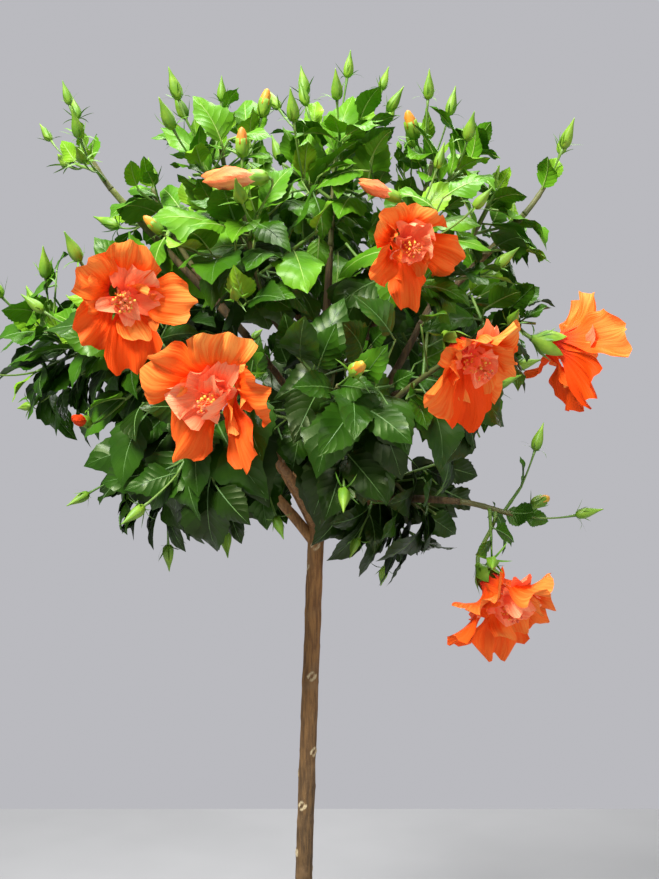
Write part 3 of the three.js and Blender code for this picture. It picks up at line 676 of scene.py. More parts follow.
class Heap:
    """Many small shapes gathered into one piece."""

    def __init__(self):
        self.places, self.loops, self.sizes, self.uvs, self.shades = [], [], [], [], []
        self.count = 0

    def add(self, shape, places, uv=None, shade=0.5):
        self.places.append(places)
        self.loops.append(shape.loops + self.count)
        self.sizes.append(shape.sizes)
        uv = np.zeros((len(places), 2)) if uv is None else uv
        self.uvs.append(uv[shape.loops])
        self.shades.append(np.full(len(places), shade) if np.isscalar(shade) else shade)
        self.count += len(places)

    def add_rod(self, rod, places, radii, uv=None):
        """Adds a rod bent along a row of places."""
        self.add(rod, swept(rod, places, radii), uv)

    def make(self, name, material, slot, replaced=()):
        """One smooth piece in metres from all that was added."""
        places = np.concatenate(self.places) * MM
        loops = np.concatenate(self.loops)
        sizes = np.concatenate(self.sizes)
        mesh = bpy.data.meshes.new(name)
        mesh.vertices.add(len(places))
        mesh.vertices.foreach_set("co", places.astype(np.float32).ravel())
        mesh.loops.add(len(loops))
        mesh.loops.foreach_set("vertex_index", loops.astype(np.int32))
        mesh.polygons.add(len(sizes))
        mesh.polygons.foreach_set("loop_start", (np.cumsum(sizes) - sizes).astype(np.int32))
        mesh.polygons.foreach_set("use_smooth", np.ones(len(sizes), bool))
        uvs = np.concatenate(self.uvs).astype(np.float32)
        mesh.uv_layers.new(name="UVMap").data.foreach_set("uv", uvs.ravel())
        shade = mesh.attributes.new("shade", "FLOAT", "POINT")
        shade.data.foreach_set("value", np.concatenate(self.shades).astype(np.float32))
        mesh.update(calc_edges=True)
        mesh.validate()
        finish_piece(name, mesh, material, slot, replaced)


def finish_piece(name, mesh, material, slot, replaced):
    mesh.materials.append(material)
    piece = bpy.data.objects.new(name, mesh)
    bpy.context.collection.objects.link(piece)
    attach(piece, "root")
    if replaced:
        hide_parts(*replaced)


def swept(shape, curve_places, radii):
    """A rod shape bent along a row of places, with a radius at each."""
    places = np.asarray(curve_places, float)
    radii = np.asarray(radii, float)
    ways = unit(np.gradient(places, axis=0))
    reference = across(unit(places[-1] - places[0]))[0]
    second = unit(cross(np.broadcast_to(reference, ways.shape), ways))
    first = cross(ways, second)
    t = shape.rest[:, 2] * (len(places) - 1)
    low = np.minimum(t.astype(int), len(places) - 2)
    part = (t - low)[:, None]

    def along(rows):
        return rows[low] * (1 - part) + rows[low + 1] * part

    radius = along(radii[:, None])
    sideways = along(first) * shape.rest[:, :1] * radius
    return along(places) + sideways + along(second) * shape.rest[:, 1:2] * radius


def set_on(rest, foot, axis):
    """Points stood on a place, with their +Z along an axis."""
    side, over = across(axis)
    return foot + rest[:, :1] * side + rest[:, 1:2] * over + rest[:, 2:] * axis


def spoke(axis, turn):
    """The direction out from an axis at a turn round it, in radians, and the one square to both."""
    side, over = across(axis)
    c, s = math.cos(turn), math.sin(turn)
    return side * c + over * s, over * c - side * s


def ripple(points, scale, seed):
    """Smooth noise at points, mostly from -1 to 1, as a sum of slanted waves."""
    random = seeded(seed)
    total = np.zeros(len(points))
    for _ in range(7):
        way = np.array((random(-1, 1), random(-1, 1), random(-1, 1)))
        swing = points @ unit(way) * (2 * math.pi / scale) * random(0.6, 1.7)
        total += np.sin(swing + random(*ANY_PHASE))
    return total / 4


# ---------------- materials


class Wire:
    """A node's output that takes plain arithmetic."""

    def __init__(self, paint, socket):
        self.paint = paint
        self.socket = socket

    def __add__(self, other):
        return self.paint.math("ADD", self, other)

    def __radd__(self, other):
        return self.paint.math("ADD", other, self)

    def __sub__(self, other):
        return self.paint.math("SUBTRACT", self, other)

    def __rsub__(self, other):
        return self.paint.math("SUBTRACT", other, self)

    def __mul__(self, other):
        return self.paint.math("MULTIPLY", self, other)

    def __rmul__(self, other):
        return self.paint.math("MULTIPLY", other, self)

    def __pow__(self, other):
        return self.paint.math("POWER", self, other)

    def between(self, low, high):
        """0 below low, 1 above high, smooth between."""
        return self.paint.node("ShaderNodeMapRange", {"interpolation_type": "SMOOTHSTEP"},
                               {"Value": self, "From Min": low, "From Max": high})


class Paint:
    """One material, whose nodes come from expressions."""

    def __init__(self, name, roughness=0.5, **constants):
        self.material = bpy.data.materials.new(name)
        self.material.use_nodes = True
        self.tree = self.material.node_tree
        self.shader = self.tree.nodes["Principled BSDF"]
        self.set("Roughness", roughness)
        for socket, value in constants.items():
            self.set(socket.replace("_", " "), value)

    def feed(self, target, value):
        """Links a wire to a node's input, or sets a number or a colour there."""
        if isinstance(value, Wire):
            self.tree.links.new(value.socket, target)
        elif np.isscalar(value):
            target.default_value = value
        else:
            target.default_value = (*value, 1)[:len(target.default_value)]

    def set(self, socket, value):
        self.feed(self.shader.inputs[socket], value)

    def node(self, kind, settings=None, values=None, output=0):
        made = self.tree.nodes.new(kind)
        for key, value in (settings or {}).items():
            setattr(made, key, value)
        for key, value in (values or {}).items():
            self.feed(made.inputs[key], value)
        return Wire(self, made.outputs[output])

    def math(self, operation, *values):
        return self.node("ShaderNodeMath", {"operation": operation}, dict(enumerate(values)))

    def vector(self, operation, *values, output=0):
        values = dict(enumerate(values))
        return self.node("ShaderNodeVectorMath", {"operation": operation}, values, output)

    def blend(self, a, b, share):
        return self.node("ShaderNodeMix", {"data_type": "RGBA"}, {0: share, 6: a, 7: b}, 2)

    def places(self, stretch=(1, 1, 1)):
        return self.vector("MULTIPLY", self.node("ShaderNodeTexCoord", output="Object"), stretch)

    def noise(self, scale, detail=3.0, where=None, rough=0.5):
        where = where or self.places()
        values = {"Vector": where, "Scale": scale, "Detail": detail, "Roughness": rough}
        return self.node("ShaderNodeTexNoise", None, values)

    def bump(self, height, depth, strength=1.0):
        values = {"Height": height, "Distance": depth, "Strength": strength}
        self.set("Normal", self.node("ShaderNodeBump", None, values))

    def shade(self):
        return self.node("ShaderNodeAttribute", {"attribute_name": "shade"}, output="Fac")

    def uv(self):
        """The piece's own map: across, along and both together."""
        both = self.node("ShaderNodeUVMap", {"uv_map": "UVMap"})
        parts = self.node("ShaderNodeSeparateXYZ", None, {0: both}).socket.node.outputs
        return Wire(self, parts[0]), Wire(self, parts[1]), both


VEIN_PAIRS = 7


def leaf_paint(name, dark, light, roughness):
    """A glossy leaf, sunk along its slanted side veins and puffed between them."""
    paint = Paint(name, roughness, Coat_Weight=0.1, Coat_Roughness=0.2, Specular_IOR_Level=0.28)
    paint.set("Specular Tint", (0.85, 1.0, 0.5))
    paint.set("Base Color", paint.blend(dark, light, paint.noise(38, 2).between(0.3, 0.7)))
    beside, along, _ = paint.uv()
    slanted = along - paint.math("ABSOLUTE", beside - 0.5) * 0.5
    puffed = paint.math("ABSOLUTE", paint.math("SINE", slanted * (VEIN_PAIRS * math.pi))) ** 0.6
    paint.bump(puffed + paint.noise(420, 2) * 0.25, 0.0012, 0.3)
    return paint.material


def plain_paint(name, dark, light, roughness, scale=60):
    """Two close tones that drift into each other."""
    paint = Paint(name, roughness)
    paint.set("Base Color", paint.blend(dark, light, paint.noise(scale, 3).between(0.3, 0.7)))
    return paint.material


PETAL_RAYS = (34, 2.2, 1)  # how fine the rays are across and along a petal


def petal_paint(name, glow, edge, body, low_body, throat, deep):
    """Petals: deep at the throat, fuller in the middle, paler at the edge, with fine rays.

    A faint glow stands for the light that comes through a petal.
    """
    paint = Paint(name, 0.6, Specular_IOR_Level=0.12, Emission_Strength=glow)
    _, along, both = paint.uv()
    ray = paint.noise(1.0, 2, paint.vector("MULTIPLY", both, PETAL_RAYS)).between(0.35, 0.65)
    out = along + (ray - 0.5) * 0.12
    # On the outer petals the shade attribute is partly painted light: paler on petals that face up,
    # nearer low_body on those that face down.
    pale = paint.shade()
    colour = paint.blend(throat, paint.blend(low_body, body, pale), out.between(0.14, 0.46))
    colour = paint.blend(deep, colour, out.between(0.02, 0.2))
    colour = paint.blend(colour, edge, out.between(0.5, 1.05) * pale)
    colour = paint.blend(colour, low_body, (1 - ray) * 0.4)
    paint.set("Base Color", colour)
    paint.set("Emission Color", colour)
    paint.bump(ray, 0.0005, 0.5)
    return paint.material


# Leaf tones: the leaves' own colours, and through leaf_tone painted light too, as the lighter tones
# go to leaves at the top and outside as lit and the darker ones to leaves low and inside as shaded.
LEAF_PAINTS = {
    "dark": leaf_paint("leaf_dark", (0.008, 0.024, 0.001), (0.014, 0.042, 0.003), 0.4),
    "deep": leaf_paint("leaf_deep", (0.015, 0.056, 0.003), (0.028, 0.090, 0.005), 0.4),
    "mid": leaf_paint("leaf_mid", (0.034, 0.120, 0.004), (0.058, 0.175, 0.007), 0.4),
    "fresh_and_lit": leaf_paint("leaf_fresh", (0.075, 0.235, 0.008), (0.125, 0.32, 0.012), 0.43),
    "young": leaf_paint("leaf_young", (0.16, 0.37, 0.014), (0.26, 0.50, 0.022), 0.45),
}

# ---------------- leaves

LEAF_ROWS = 16
LEAF_SHEET = sheet_shape(4, LEAF_ROWS)
RIB_ROD = rod_shape(4, 6)
RIB_RADII = np.array((1.15, 1.0, 0.85, 0.7, 0.55, 0.4, 0.2))
STALK_SHARE = 0.15
BLADE_HALF = 0.268  # a blade's half width as a share of the leaf's length
FULLEST = 0.3428  # the outline's greatest value before it is brought to 1


def leaf_spine(leaf, s):
    """Places along a leaf's midrib, which bends through its middle and tip, and the face there."""
    middle = np.array((LEAF_MIDDLE, LEAF_ARCH)) * leaf.length
    slope = math.hypot(1, leaf.droop)
    tip = middle + np.array((1, -leaf.droop)) / slope * (1 - LEAF_MIDDLE) * leaf.length
    to_middle, to_tip = LEAF_MIDDLE * (LEAF_MIDDLE - 1), 1 - LEAF_MIDDLE
    a, b = s * (s - 1) / to_middle, s * (s - LEAF_MIDDLE) / to_tip
    da, db = (2 * s - 1) / to_middle, (2 * s - LEAF_MIDDLE) / to_tip
    flat = a[:, None] * middle + b[:, None] * tip
    slant = unit(da[:, None] * middle + db[:, None] * tip)
    place = leaf.foot + flat[:, :1] * leaf.forward + flat[:, 1:] * leaf.face
    face = leaf.face * slant[:, :1] - leaf.forward * slant[:, 1:]
    return place, face


def blade_places(leaf, random):
    """A toothed, folded blade with a drawn-out tip, quilted between its side veins."""
    v, u = LEAF_SHEET.v, LEAF_SHEET.u
    row = np.rint(u * LEAF_ROWS)
    odd = row % 2 == 1
    tooth = np.where(odd & (row > 2) & (row < LEAF_ROWS), 1.0, 0.0) * np.abs(v) ** 3
    reach = np.clip(u + 0.03 * tooth, 0.0, 1)
    outline = np.clip(reach, 0.006, 1) ** 0.58 * np.clip(1 - reach, 0.004, 1) ** 1.08 / FULLEST
    half = leaf.length * BLADE_HALF * random(0.88, 1.08) * outline * (1 + 0.11 * tooth)
    fold = random(0.15, 0.5) * (1.2 - 0.5 * leaf.age)
    curl = random(0.1, 0.55)
    twist = random(-0.4, 0.4)
    wave, phase, other = random(0.03, 0.11), random(*ANY_PHASE), random(*ANY_PHASE)
    place, face = leaf_spine(leaf, mix(STALK_SHARE, 1, reach))
    turn = twist * u
    side = leaf.side * np.cos(turn)[:, None] + face * np.sin(turn)[:, None]
    face = face * np.cos(turn)[:, None] - leaf.side * np.sin(turn)[:, None]
    lift = half * np.abs(v) * (fold - curl * np.abs(v))
    calm = smooth(u * 3) * smooth((1 - u) * 3)
    lift += leaf.length * wave * v**2 * np.sin(7.5 * u + phase + np.where(v > 0, other, 0)) * calm
    between = (np.abs(v) > 0.3) & (np.abs(v) < 0.8)
    quilt = mix(0.005, 0.012, leaf.age) * np.where(odd, -0.4, 1) * np.where(between, 1, 0.0)
    lift += leaf.length * quilt * smooth(u * 5) * smooth((1 - u) * 4)
    return place + side * (v * half)[:, None] + face * lift[:, None]


def leaf_tone(leaf, mass, random):
    """Young leaves are pale; leaves at the top and outside are painted lighter, as lit from above,
    and those low and inside painted darker, as shaded.
    """
    out = np.linalg.norm(leaf.foot - CROWN_HEART) / 200
    high = (leaf.foot[2] - 800) / 160
    # Painted light: height and distance out from the crown's heart make a leaf lighter, as lit, and
    # low inner leaves darker, as shaded; random tone, youth and small leaves also make it lighter.
    light = 0.75 * high + 0.25 * out + random(-0.35, 0.35) - 0.5 * leaf.age
    light += 2 * (1 - mass.leaf_size)
    if leaf.age < 0.2 and mass.rise > 0.25:
        return "young" if light > 0.3 else "fresh_and_lit"
    if light > 0.52:
        return "fresh_and_lit"
    return "mid" if light > 0.06 else "deep" if light > -0.35 else "dark"


FOLIAGE_NODES = ["foliage_" + mass.name for mass in masses]
LEAF_UV = (LEAF_SHEET.rest[:, :2] + 1) / 2
leaf_heaps = {tone: Heap() for tone in LEAF_PAINTS}
ribs = {"pale": Heap(), "young": Heap()}
random = seeded(91)
for foliage in foliages:
    for leaf in foliage.leaves:
        tone = leaf_tone(leaf, foliage.mass, random)
        leaf_heaps[tone].add(LEAF_SHEET, blade_places(leaf, random), LEAF_UV)
        places, _ = leaf_spine(leaf, np.linspace(0, 0.94, len(RIB_RADII)))
        places[0] = leaf.foot - leaf.forward * 0.8
        # Young leaves, and leaves painted lighter as lit, get the lighter rib colour.
        heap = ribs["young" if tone in ("young", "fresh_and_lit") else "pale"]
        heap.add_rod(RIB_ROD, places, RIB_RADII * mix(0.7, 1, leaf.age))

for tone, heap in leaf_heaps.items():
    slot = "leaf_young" if tone == "young" else "leaf"
    heap.make("leaves_" + tone, LEAF_PAINTS[tone], slot, FOLIAGE_NODES)
rib_pale = plain_paint("rib_pale", (0.09, 0.20, 0.045), (0.16, 0.30, 0.07), 0.45)
rib_young_and_lit = plain_paint("rib_young_and_lit", (0.26, 0.42, 0.08), (0.38, 0.55, 0.12), 0.45)
ribs["pale"].make("leaf_ribs", rib_pale, "leaf", FOLIAGE_NODES)
ribs["young"].make("leaf_ribs_young_and_lit", rib_young_and_lit, "leaf_young", FOLIAGE_NODES)

# ---------------- twigs, stalks and buds

STEM_ROD = rod_shape(8, 24)
SHOOT_ROD = rod_shape(7, 10)
TWIG_ROD = rod_shape(5, 5)
STALK_ROD = rod_shape(5, 6)


def from_node(run, gap):
    """How far each length along a limb is from the nearest of its evenly spaced leaf nodes."""
    return (run / gap - np.rint(run / gap)) * gap


def knobbly(places, radii, gap):
    """Radii with a slight swelling at each leaf node."""
    run = np.concatenate(([0], np.cumsum(np.linalg.norm(np.diff(places, axis=0), axis=1))))
    return radii * (1 + 0.16 * np.exp(-(from_node(run, gap) / 1.6) ** 2))


def row_curve(row, steps):
    """A smooth run of places through a row."""
    t = np.linspace(0, 1, steps)
    if len(row) == 2:
        return row[0] + (row[1] - row[0]) * t[:, None]
    knots = np.linspace(0, 1, len(row))
    return np.stack([np.interp(t, knots, row[:, k]) for k in range(3)], 1)


stems, shoots = Heap(), Heap()
for foliage in foliages:
    bough = limbs[foliage.mass.name]
    for index, (row, order) in enumerate(foliage.rows):
        if index == 0:
            way = bough.curve.way(1)
            lifted = unit(foliage.mass.outwards + UP * foliage.mass.rise)
            places = curve_of(row[0], way, lifted, row[-1]).at(np.linspace(0, 1, 25))
            radii = knobbly(places, np.linspace(2.5, 1.9, 25), 20)
            stems.add_rod(STEM_ROD, places, radii)
        elif order == 0:
            places = row_curve(row, 11)
            radii = knobbly(places, np.linspace(1.6, 1.15, 11), 10)
            shoots.add_rod(SHOOT_ROD, places, radii)
        else:
            shoots.add_rod(TWIG_ROD, row_curve(row, 6), np.linspace(1.05, 0.75, 6))

BUD_SHAPE = turned_shape([
    (0, 0), (2.5, 0.6), (4.0, 3.2), (4.5, 7), (4.0, 11), (2.7, 15.5), (1.3, 20), (0.5, 24), (0, 25.5),
], 10)
CUP_SHAPE = turned_shape([
    (0, 0), (3.1, 0.6), (4.6, 4), (5.1, 8), (5.0, 11.5), (4.5, 15), (0, 13.5),
], 10)
TIP_SHAPE = turned_shape([(0, 9), (4.2, 10.5), (4.2, 14), (3.4, 18), (1.9, 21.5), (0, 23)], 10)
FURLED_LENGTH = 52
FURLED_SHAPE = turned_shape([
    (0, 6), (4.0, 8), (4.9, 13), (6.6, 20), (8.1, 27), (8.7, 34), (7.6, 41), (5.2, 47), (2.6, 51),
    (0, FURLED_LENGTH),
], 40)
BRACT_SHEET = sheet_shape(2, 4)
BUD_STALK_RADII = np.array((1.05, 0.9, 0.85, 0.8, 0.85, 1.0, 1.5))


def bud_shell(shape, bud, ridges=0.14, twist=0.0):
    """A turned shape with five soft ridges, stood on a bud's stalk."""
    rest = shape.rest.copy()
    angle = np.arctan2(rest[:, 1], rest[:, 0]) + twist * rest[:, 2] / 40
    rest[:, :2] *= (1 + ridges * np.cos(5 * angle))[:, None]
    return set_on(rest * bud.size, bud.head, bud.axis)


def furled_shell(bud, size):
    """Five petals rolled round one another: each one's free edge stands a little proud."""
    rest = FURLED_SHAPE.rest.copy()
    angle = np.arctan2(rest[:, 1], rest[:, 0]) + 1.9 * rest[:, 2] / FURLED_LENGTH
    wrap = (angle * 5 / (2 * math.pi)) % 1
    rest[:, :2] *= (0.88 + 0.26 * wrap**1.5)[:, None]
    rest[:, 2] += np.where(rest[:, 2] > 40, 2.5 * np.sin(2 * angle), 0)
    return set_on(rest * size, bud.head, bud.axis), wrap


def bracts(heap, head, axis, size, count, length, spread, random):
    """Narrow pointed bracts that arch out round the foot of a bud or bloom."""
    v, u = BRACT_SHEET.v, BRACT_SHEET.u
    for k in range(count):
        radial, tangent = spoke(axis, 2 * math.pi * (k + random(-0.2, 0.2)) / count)
        lean = spread * random(0.7, 1.4)
        reach = length * size * random(0.8, 1.2)
        bend = lean + random(-0.5, 1.0) * u
        along = np.stack((1.4 * size + reach * u * np.sin(bend), reach * u * np.cos(bend)), 1)
        half = 1.3 * size * (1 - u) ** 0.7 * (0.6 + 0.5 * u)
        middle = head + along[:, :1] * radial + along[:, 1:] * axis
        heap.add(BRACT_SHEET, middle + tangent * (v * half)[:, None])


buds = [bud for foliage in foliages for bud in foliage.buds]
fronts = [bud for bud in buds if bud.head[1] < 60]
marked = {}
for kind, spots in (("furled", FURLED), ("coloured", COLOURED)):
    for x, z, *looks in spots:
        free = [bud for bud in fronts if id(bud) not in marked]
        nearest = min(free, key=lambda bud: math.hypot(bud.head[0] - x, bud.head[2] - z))
        marked[id(nearest)] = kind, looks

bud_heap, bract_heap, furled_heap, tip_heap = Heap(), Heap(), Heap(), Heap()
random = seeded(92)
for bud in buds:
    kind, looks = marked.get(id(bud), ("green", []))
    if kind == "furled":
        size, turn, tilt, paleness = looks
        bud.axis = facing(turn, tilt)
    stalk = curve_of(bud.foot, bud.way, bud.axis, bud.head + bud.axis * 0.8)
    places = stalk.at(np.linspace(0, 1, len(BUD_STALK_RADII)))
    shoots.add_rod(STALK_ROD, places, BUD_STALK_RADII * bud.size**0.5)
    shape = BUD_SHAPE if kind == "green" else CUP_SHAPE
    bud_heap.add(shape, bud_shell(shape, bud))
    if kind == "coloured":
        tip_heap.add(TIP_SHAPE, bud_shell(TIP_SHAPE, bud, 0.18, 2.5))
    elif kind == "furled":
        places, wrap = furled_shell(bud, size)
        uv = np.stack((wrap, FURLED_SHAPE.rest[:, 2] / FURLED_LENGTH), 1)
        furled_heap.add(FURLED_SHAPE, places, uv, paleness * (1 - 0.95 * wrap**2.5))
    bracts(bract_heap, bud.head, bud.axis, bud.size, 7, 15, 0.72, random)

# ---------------- blooms

PETAL_SHEET = sheet_shape(14, 20)
INNER_SHEET = sheet_shape(8, 10)
COLUMN_ROD = rod_shape(10, 12)
FILAMENT_ROD = rod_shape(3, 2)
GRAIN = shape_of(lambda bm: bmesh.ops.create_icosphere(bm, subdivisions=1, radius=1))
SEPAL_SHEET = sheet_shape(4, 6)
ANTHERS = 44
STIGMAS = 5


def petal_sweep(bloom):
    """Each petal's length, opening and lift, drawn by lot as for the solid blooms."""
    draw = seeded(500 + bloom.index)
    length = PETAL_LENGTH * bloom.size
    return [(length * draw(0.86, 1.1), draw(66, 114), draw(-4, 4)) for _ in range(5)]


def outer_petal(bloom, turn, length, opening, lift, width, random):
    """A clawed, fan-shaped petal that rises from the calyx and folds back, with a ruffled rim."""
    v, u = PETAL_SHEET.v, PETAL_SHEET.u
    radial, tangent = spoke(bloom.axis, turn)
    p, q = random(*ANY_PHASE), random(*ANY_PHASE)
    s = u * (1 - random(0.16, 0.3) * np.abs(v) ** 2.6 + 0.035 * np.cos(random(7, 11) * v + p))
    start = radians(PETAL_START)
    sweep = radians(opening) - start
    angle = start + sweep * s
    reach = length * (math.cos(start) - np.cos(angle)) / sweep
    climb = length * (np.sin(angle) - math.sin(start)) / sweep
    throat = 0.8 * CALYX_LENGTH * bloom.size
    half = width * (0.15 + 0.85 * smooth((s - 0.07) / 0.78)) * (1 - 0.2 * smooth((s - 0.82) / 0.18))
    way = unit(np.stack((np.sin(angle), 0.8 * np.cos(angle)), 1))
    beyond = np.where(v > 0, q, 0)
    lifts = lift * s + 1.4 * v * smooth(s * 4)
    lifts += half * v**2 * random(-0.45, 0.35)
    lifts += random(-0.25, 0.4) * half * np.abs(v) * smooth(s * 2)
    side_wave = np.sin(random(7, 14) * s + p + beyond)
    lifts += bloom.size * 5.4 * np.abs(v) ** 1.7 * smooth((s - 0.15) / 0.6) * side_wave
    end_wave = np.sin(random(5, 8.5) * v + p + q)
    lifts += bloom.size * 4.2 * smooth((s - 0.55) / 0.45) * end_wave
    lifts += bloom.size * 0.9 * smooth(s * 2) * np.cos(v * 16 + p)
    roll = random(-0.6, 0.6) * smooth(s)
    lifts += v * half * np.sin(roll)
    rim = CALYX_RADIUS * bloom.size * (1 - s) + reach
    out = rim - way[:, 1] * lifts
    high = throat + 0.8 * climb + way[:, 0] * lifts
    cupped = (0.8 * v * half) ** 2 * np.clip(1 - s * 2.2, 0, 1)
    hug = np.sqrt(np.maximum(out**2 - cupped, 4.0))
    beside = v * half * np.cos(roll) + random(-0.14, 0.14) * s**2 * length
    places = bloom.foot + hug[:, None] * radial + beside[:, None] * tangent
    places += high[:, None] * bloom.axis
    sag = UP * (5.5 * bloom.size * s**2)[:, None]
    return places - sag, np.stack((v / 2 + 0.5, s), 1)


def inner_petal(bloom, turn, lean, foot_share, length, random):
    """A crumpled spoon-shaped petal that stands round the column."""
    v, u = INNER_SHEET.v, INNER_SHEET.u
    s = u * (1 - 0.24 * np.abs(v) ** 2.2)
    forward = turned_out(bloom.axis, turn, lean)
    foot = bloom.foot + bloom.axis * foot_share * CALYX_LENGTH * bloom.size
    face = unit(bloom.axis - forward * (bloom.axis @ forward))
    side = cross(face, forward)
    widest = length * random(0.32, 0.46)
    half = widest * (0.14 + 0.86 * smooth(s / 0.85)) * (1 - 0.25 * smooth((s - 0.8) / 0.2))
    curl, twist = random(-0.6, 0.8), random(-0.9, 0.9)
    waves, p, q = random(1.2, 2.4) * 6.28, random(*ANY_PHASE), random(*ANY_PHASE)
    lift = length * 0.15 * v**2 * np.sin(waves * s + p + np.where(v > 0, q, 0))
    lift += length * 0.07 * np.sin(6 * v + q) * smooth(s)
    lift += half * v**2 * random(-0.2, 0.9)
    bend = curl * s**2
    along = length * s * np.cos(bend)
    lift += length * s * np.sin(bend)
    tilt = twist * s
    lift += v * half * np.sin(tilt)
    places = foot + along[:, None] * forward + (v * half * np.cos(tilt))[:, None] * side
    return places + lift[:, None] * face, np.stack((v / 2 + 0.5, s), 1)


def column_parts(bloom, random):
    """The column up a bloom's middle, set round with anthers and ending in five stigma pads."""
    axis, size = bloom.axis, bloom.size
    root = bloom.foot + axis * 0.5 * CALYX_LENGTH * size
    tip = bloom.foot + axis * (COLUMN_REACH - 3) * size
    bow = -UP * 3 * size
    t = np.linspace(0, 1, 13)[:, None]
    spine = root + (tip - root) * t + bow * np.sin(t * math.pi)
    uv = np.stack((np.zeros(len(COLUMN_ROD.rest)), COLUMN_ROD.rest[:, 2]), 1)
    columns.add_rod(COLUMN_ROD, spine, np.linspace(2.1, 0.9, 13) * size, uv)
    for k in range(ANTHERS):
        share = mix(0.42, 0.98, k / (ANTHERS - 1))
        base = spine[0] + (tip - root) * share + bow * math.sin(share * math.pi)
        way = turned_out(axis, GOLDEN_TURN * k, random(52, 82))
        end = base + way * random(4.5, 8) * size
        thread = np.array((base, (base + end) / 2 + axis * 0.6, end))
        filaments.add_rod(FILAMENT_ROD, thread, (0.28, 0.24, 0.22))
        anthers.add(GRAIN, end + GRAIN.rest * random(0.9, 1.25) * size)
    for k in range(STIGMAS):
        way = turned_out(axis, 360 / STIGMAS * k + 20, 34)
        end = tip + way * 6.5 * size
        thread = np.array((tip - axis, (tip + end) / 2 + axis * 0.5, end))
        filaments.add_rod(FILAMENT_ROD, thread, (0.5, 0.4, 0.4))
        pads.add(GRAIN, end + GRAIN.rest * 1.35 * size)


def bloom_calyx(heap, bloom, random):
    """Five pointed sepals joined in a cup that holds the petals."""
    v, u = SEPAL_SHEET.v, SEPAL_SHEET.u
    side, over = across(bloom.axis)
    taper = np.where(u < 0.5, 1, 2 * (1 - u)) ** 0.8
    for k in range(5):
        turn = 2 * math.pi * k / 5 + v * (math.pi / 5) * taper
        radius = bloom.size * (2.2 + 7.2 * smooth(u * 1.7) + 2.4 * u**3 * random(0.4, 1.6))
        radial = np.cos(turn)[:, None] * side + np.sin(turn)[:, None] * over
        high = (CALYX_LENGTH + 4) * bloom.size * u - 1
        heap.add(SEPAL_SHEET, bloom.foot + radial * radius[:, None] + high[:, None] * bloom.axis)


petals, inner_petals, columns, filaments, anthers, pads = (Heap() for _ in range(6))
for bloom in blooms:
    random = seeded(600 + bloom.index)
    side, over = across(bloom.axis)
    for index, (length, opening, lift) in enumerate(petal_sweep(bloom)):
        turn = 2 * math.pi * index / 5
        width = random(17.5, 24.5) * bloom.size
        places, uv = outer_petal(bloom, turn, length, opening, lift, width, random)
        # Petals that face up are paler and those that face down redder, partly their own colour and
        # partly painted light from above and painted shade below; a random share varies it.
        upwards = side[2] * math.cos(turn) + over[2] * math.sin(turn)
        paleness = 0.5 + 0.45 * upwards + random(-0.25, 0.25)
        petals.add(PETAL_SHEET, places, uv, min(1, max(0, paleness)))
    for k in range(3):
        turn = radians(GOLDEN_TURN * k + 36) + random(-0.3, 0.3)
        length = random(0.56, 0.8) * PETAL_LENGTH * bloom.size
        opening, lift, width = random(38, 84), random(-3, 3), random(14, 19) * bloom.size
        places, uv = outer_petal(bloom, turn, length, opening, lift, width, random)
        petals.add(PETAL_SHEET, places, uv, random(0.4, 1))
    for k in range(14 if bloom.size > 1.1 else 9):
        leans, lengths = ((40, 68), (27, 35)) if k % 3 == 0 else ((12, 46), (17, 27))
        lean, length = random(*leans), random(*lengths)
        turn = GOLDEN_TURN * k + random(-14, 14)
        places, uv = inner_petal(bloom, turn, lean, random(1.1, 1.7), length * bloom.size, random)
        inner_petals.add(INNER_SHEET, places, uv, random(0.3, 1))
    column_parts(bloom, random)
    bloom_calyx(bud_heap, bloom, random)
    bracts(bract_heap, bloom.foot, bloom.axis, bloom.size * 1.3, 8, 13, 0.5, random)
    foliage = next(one for one in foliages if one.mass.name == bloom.mass)
    nodes = [on_row(foliage.rows[0][0], mix(0.2, 0.92, i / 12)) for i in range(13)]
    place, way = min(nodes, key=lambda node: np.linalg.norm(node[0] - bloom.foot))
    end = bloom.foot + 3 * bloom.axis
    stalk = curve_of(place, unit(unit(end - place) + 0.4 * way), bloom.axis, end)
    shoots.add_rod(SHOOT_ROD, stalk.at(np.linspace(0, 1, 11)), np.linspace(1.5, 1.9, 11))

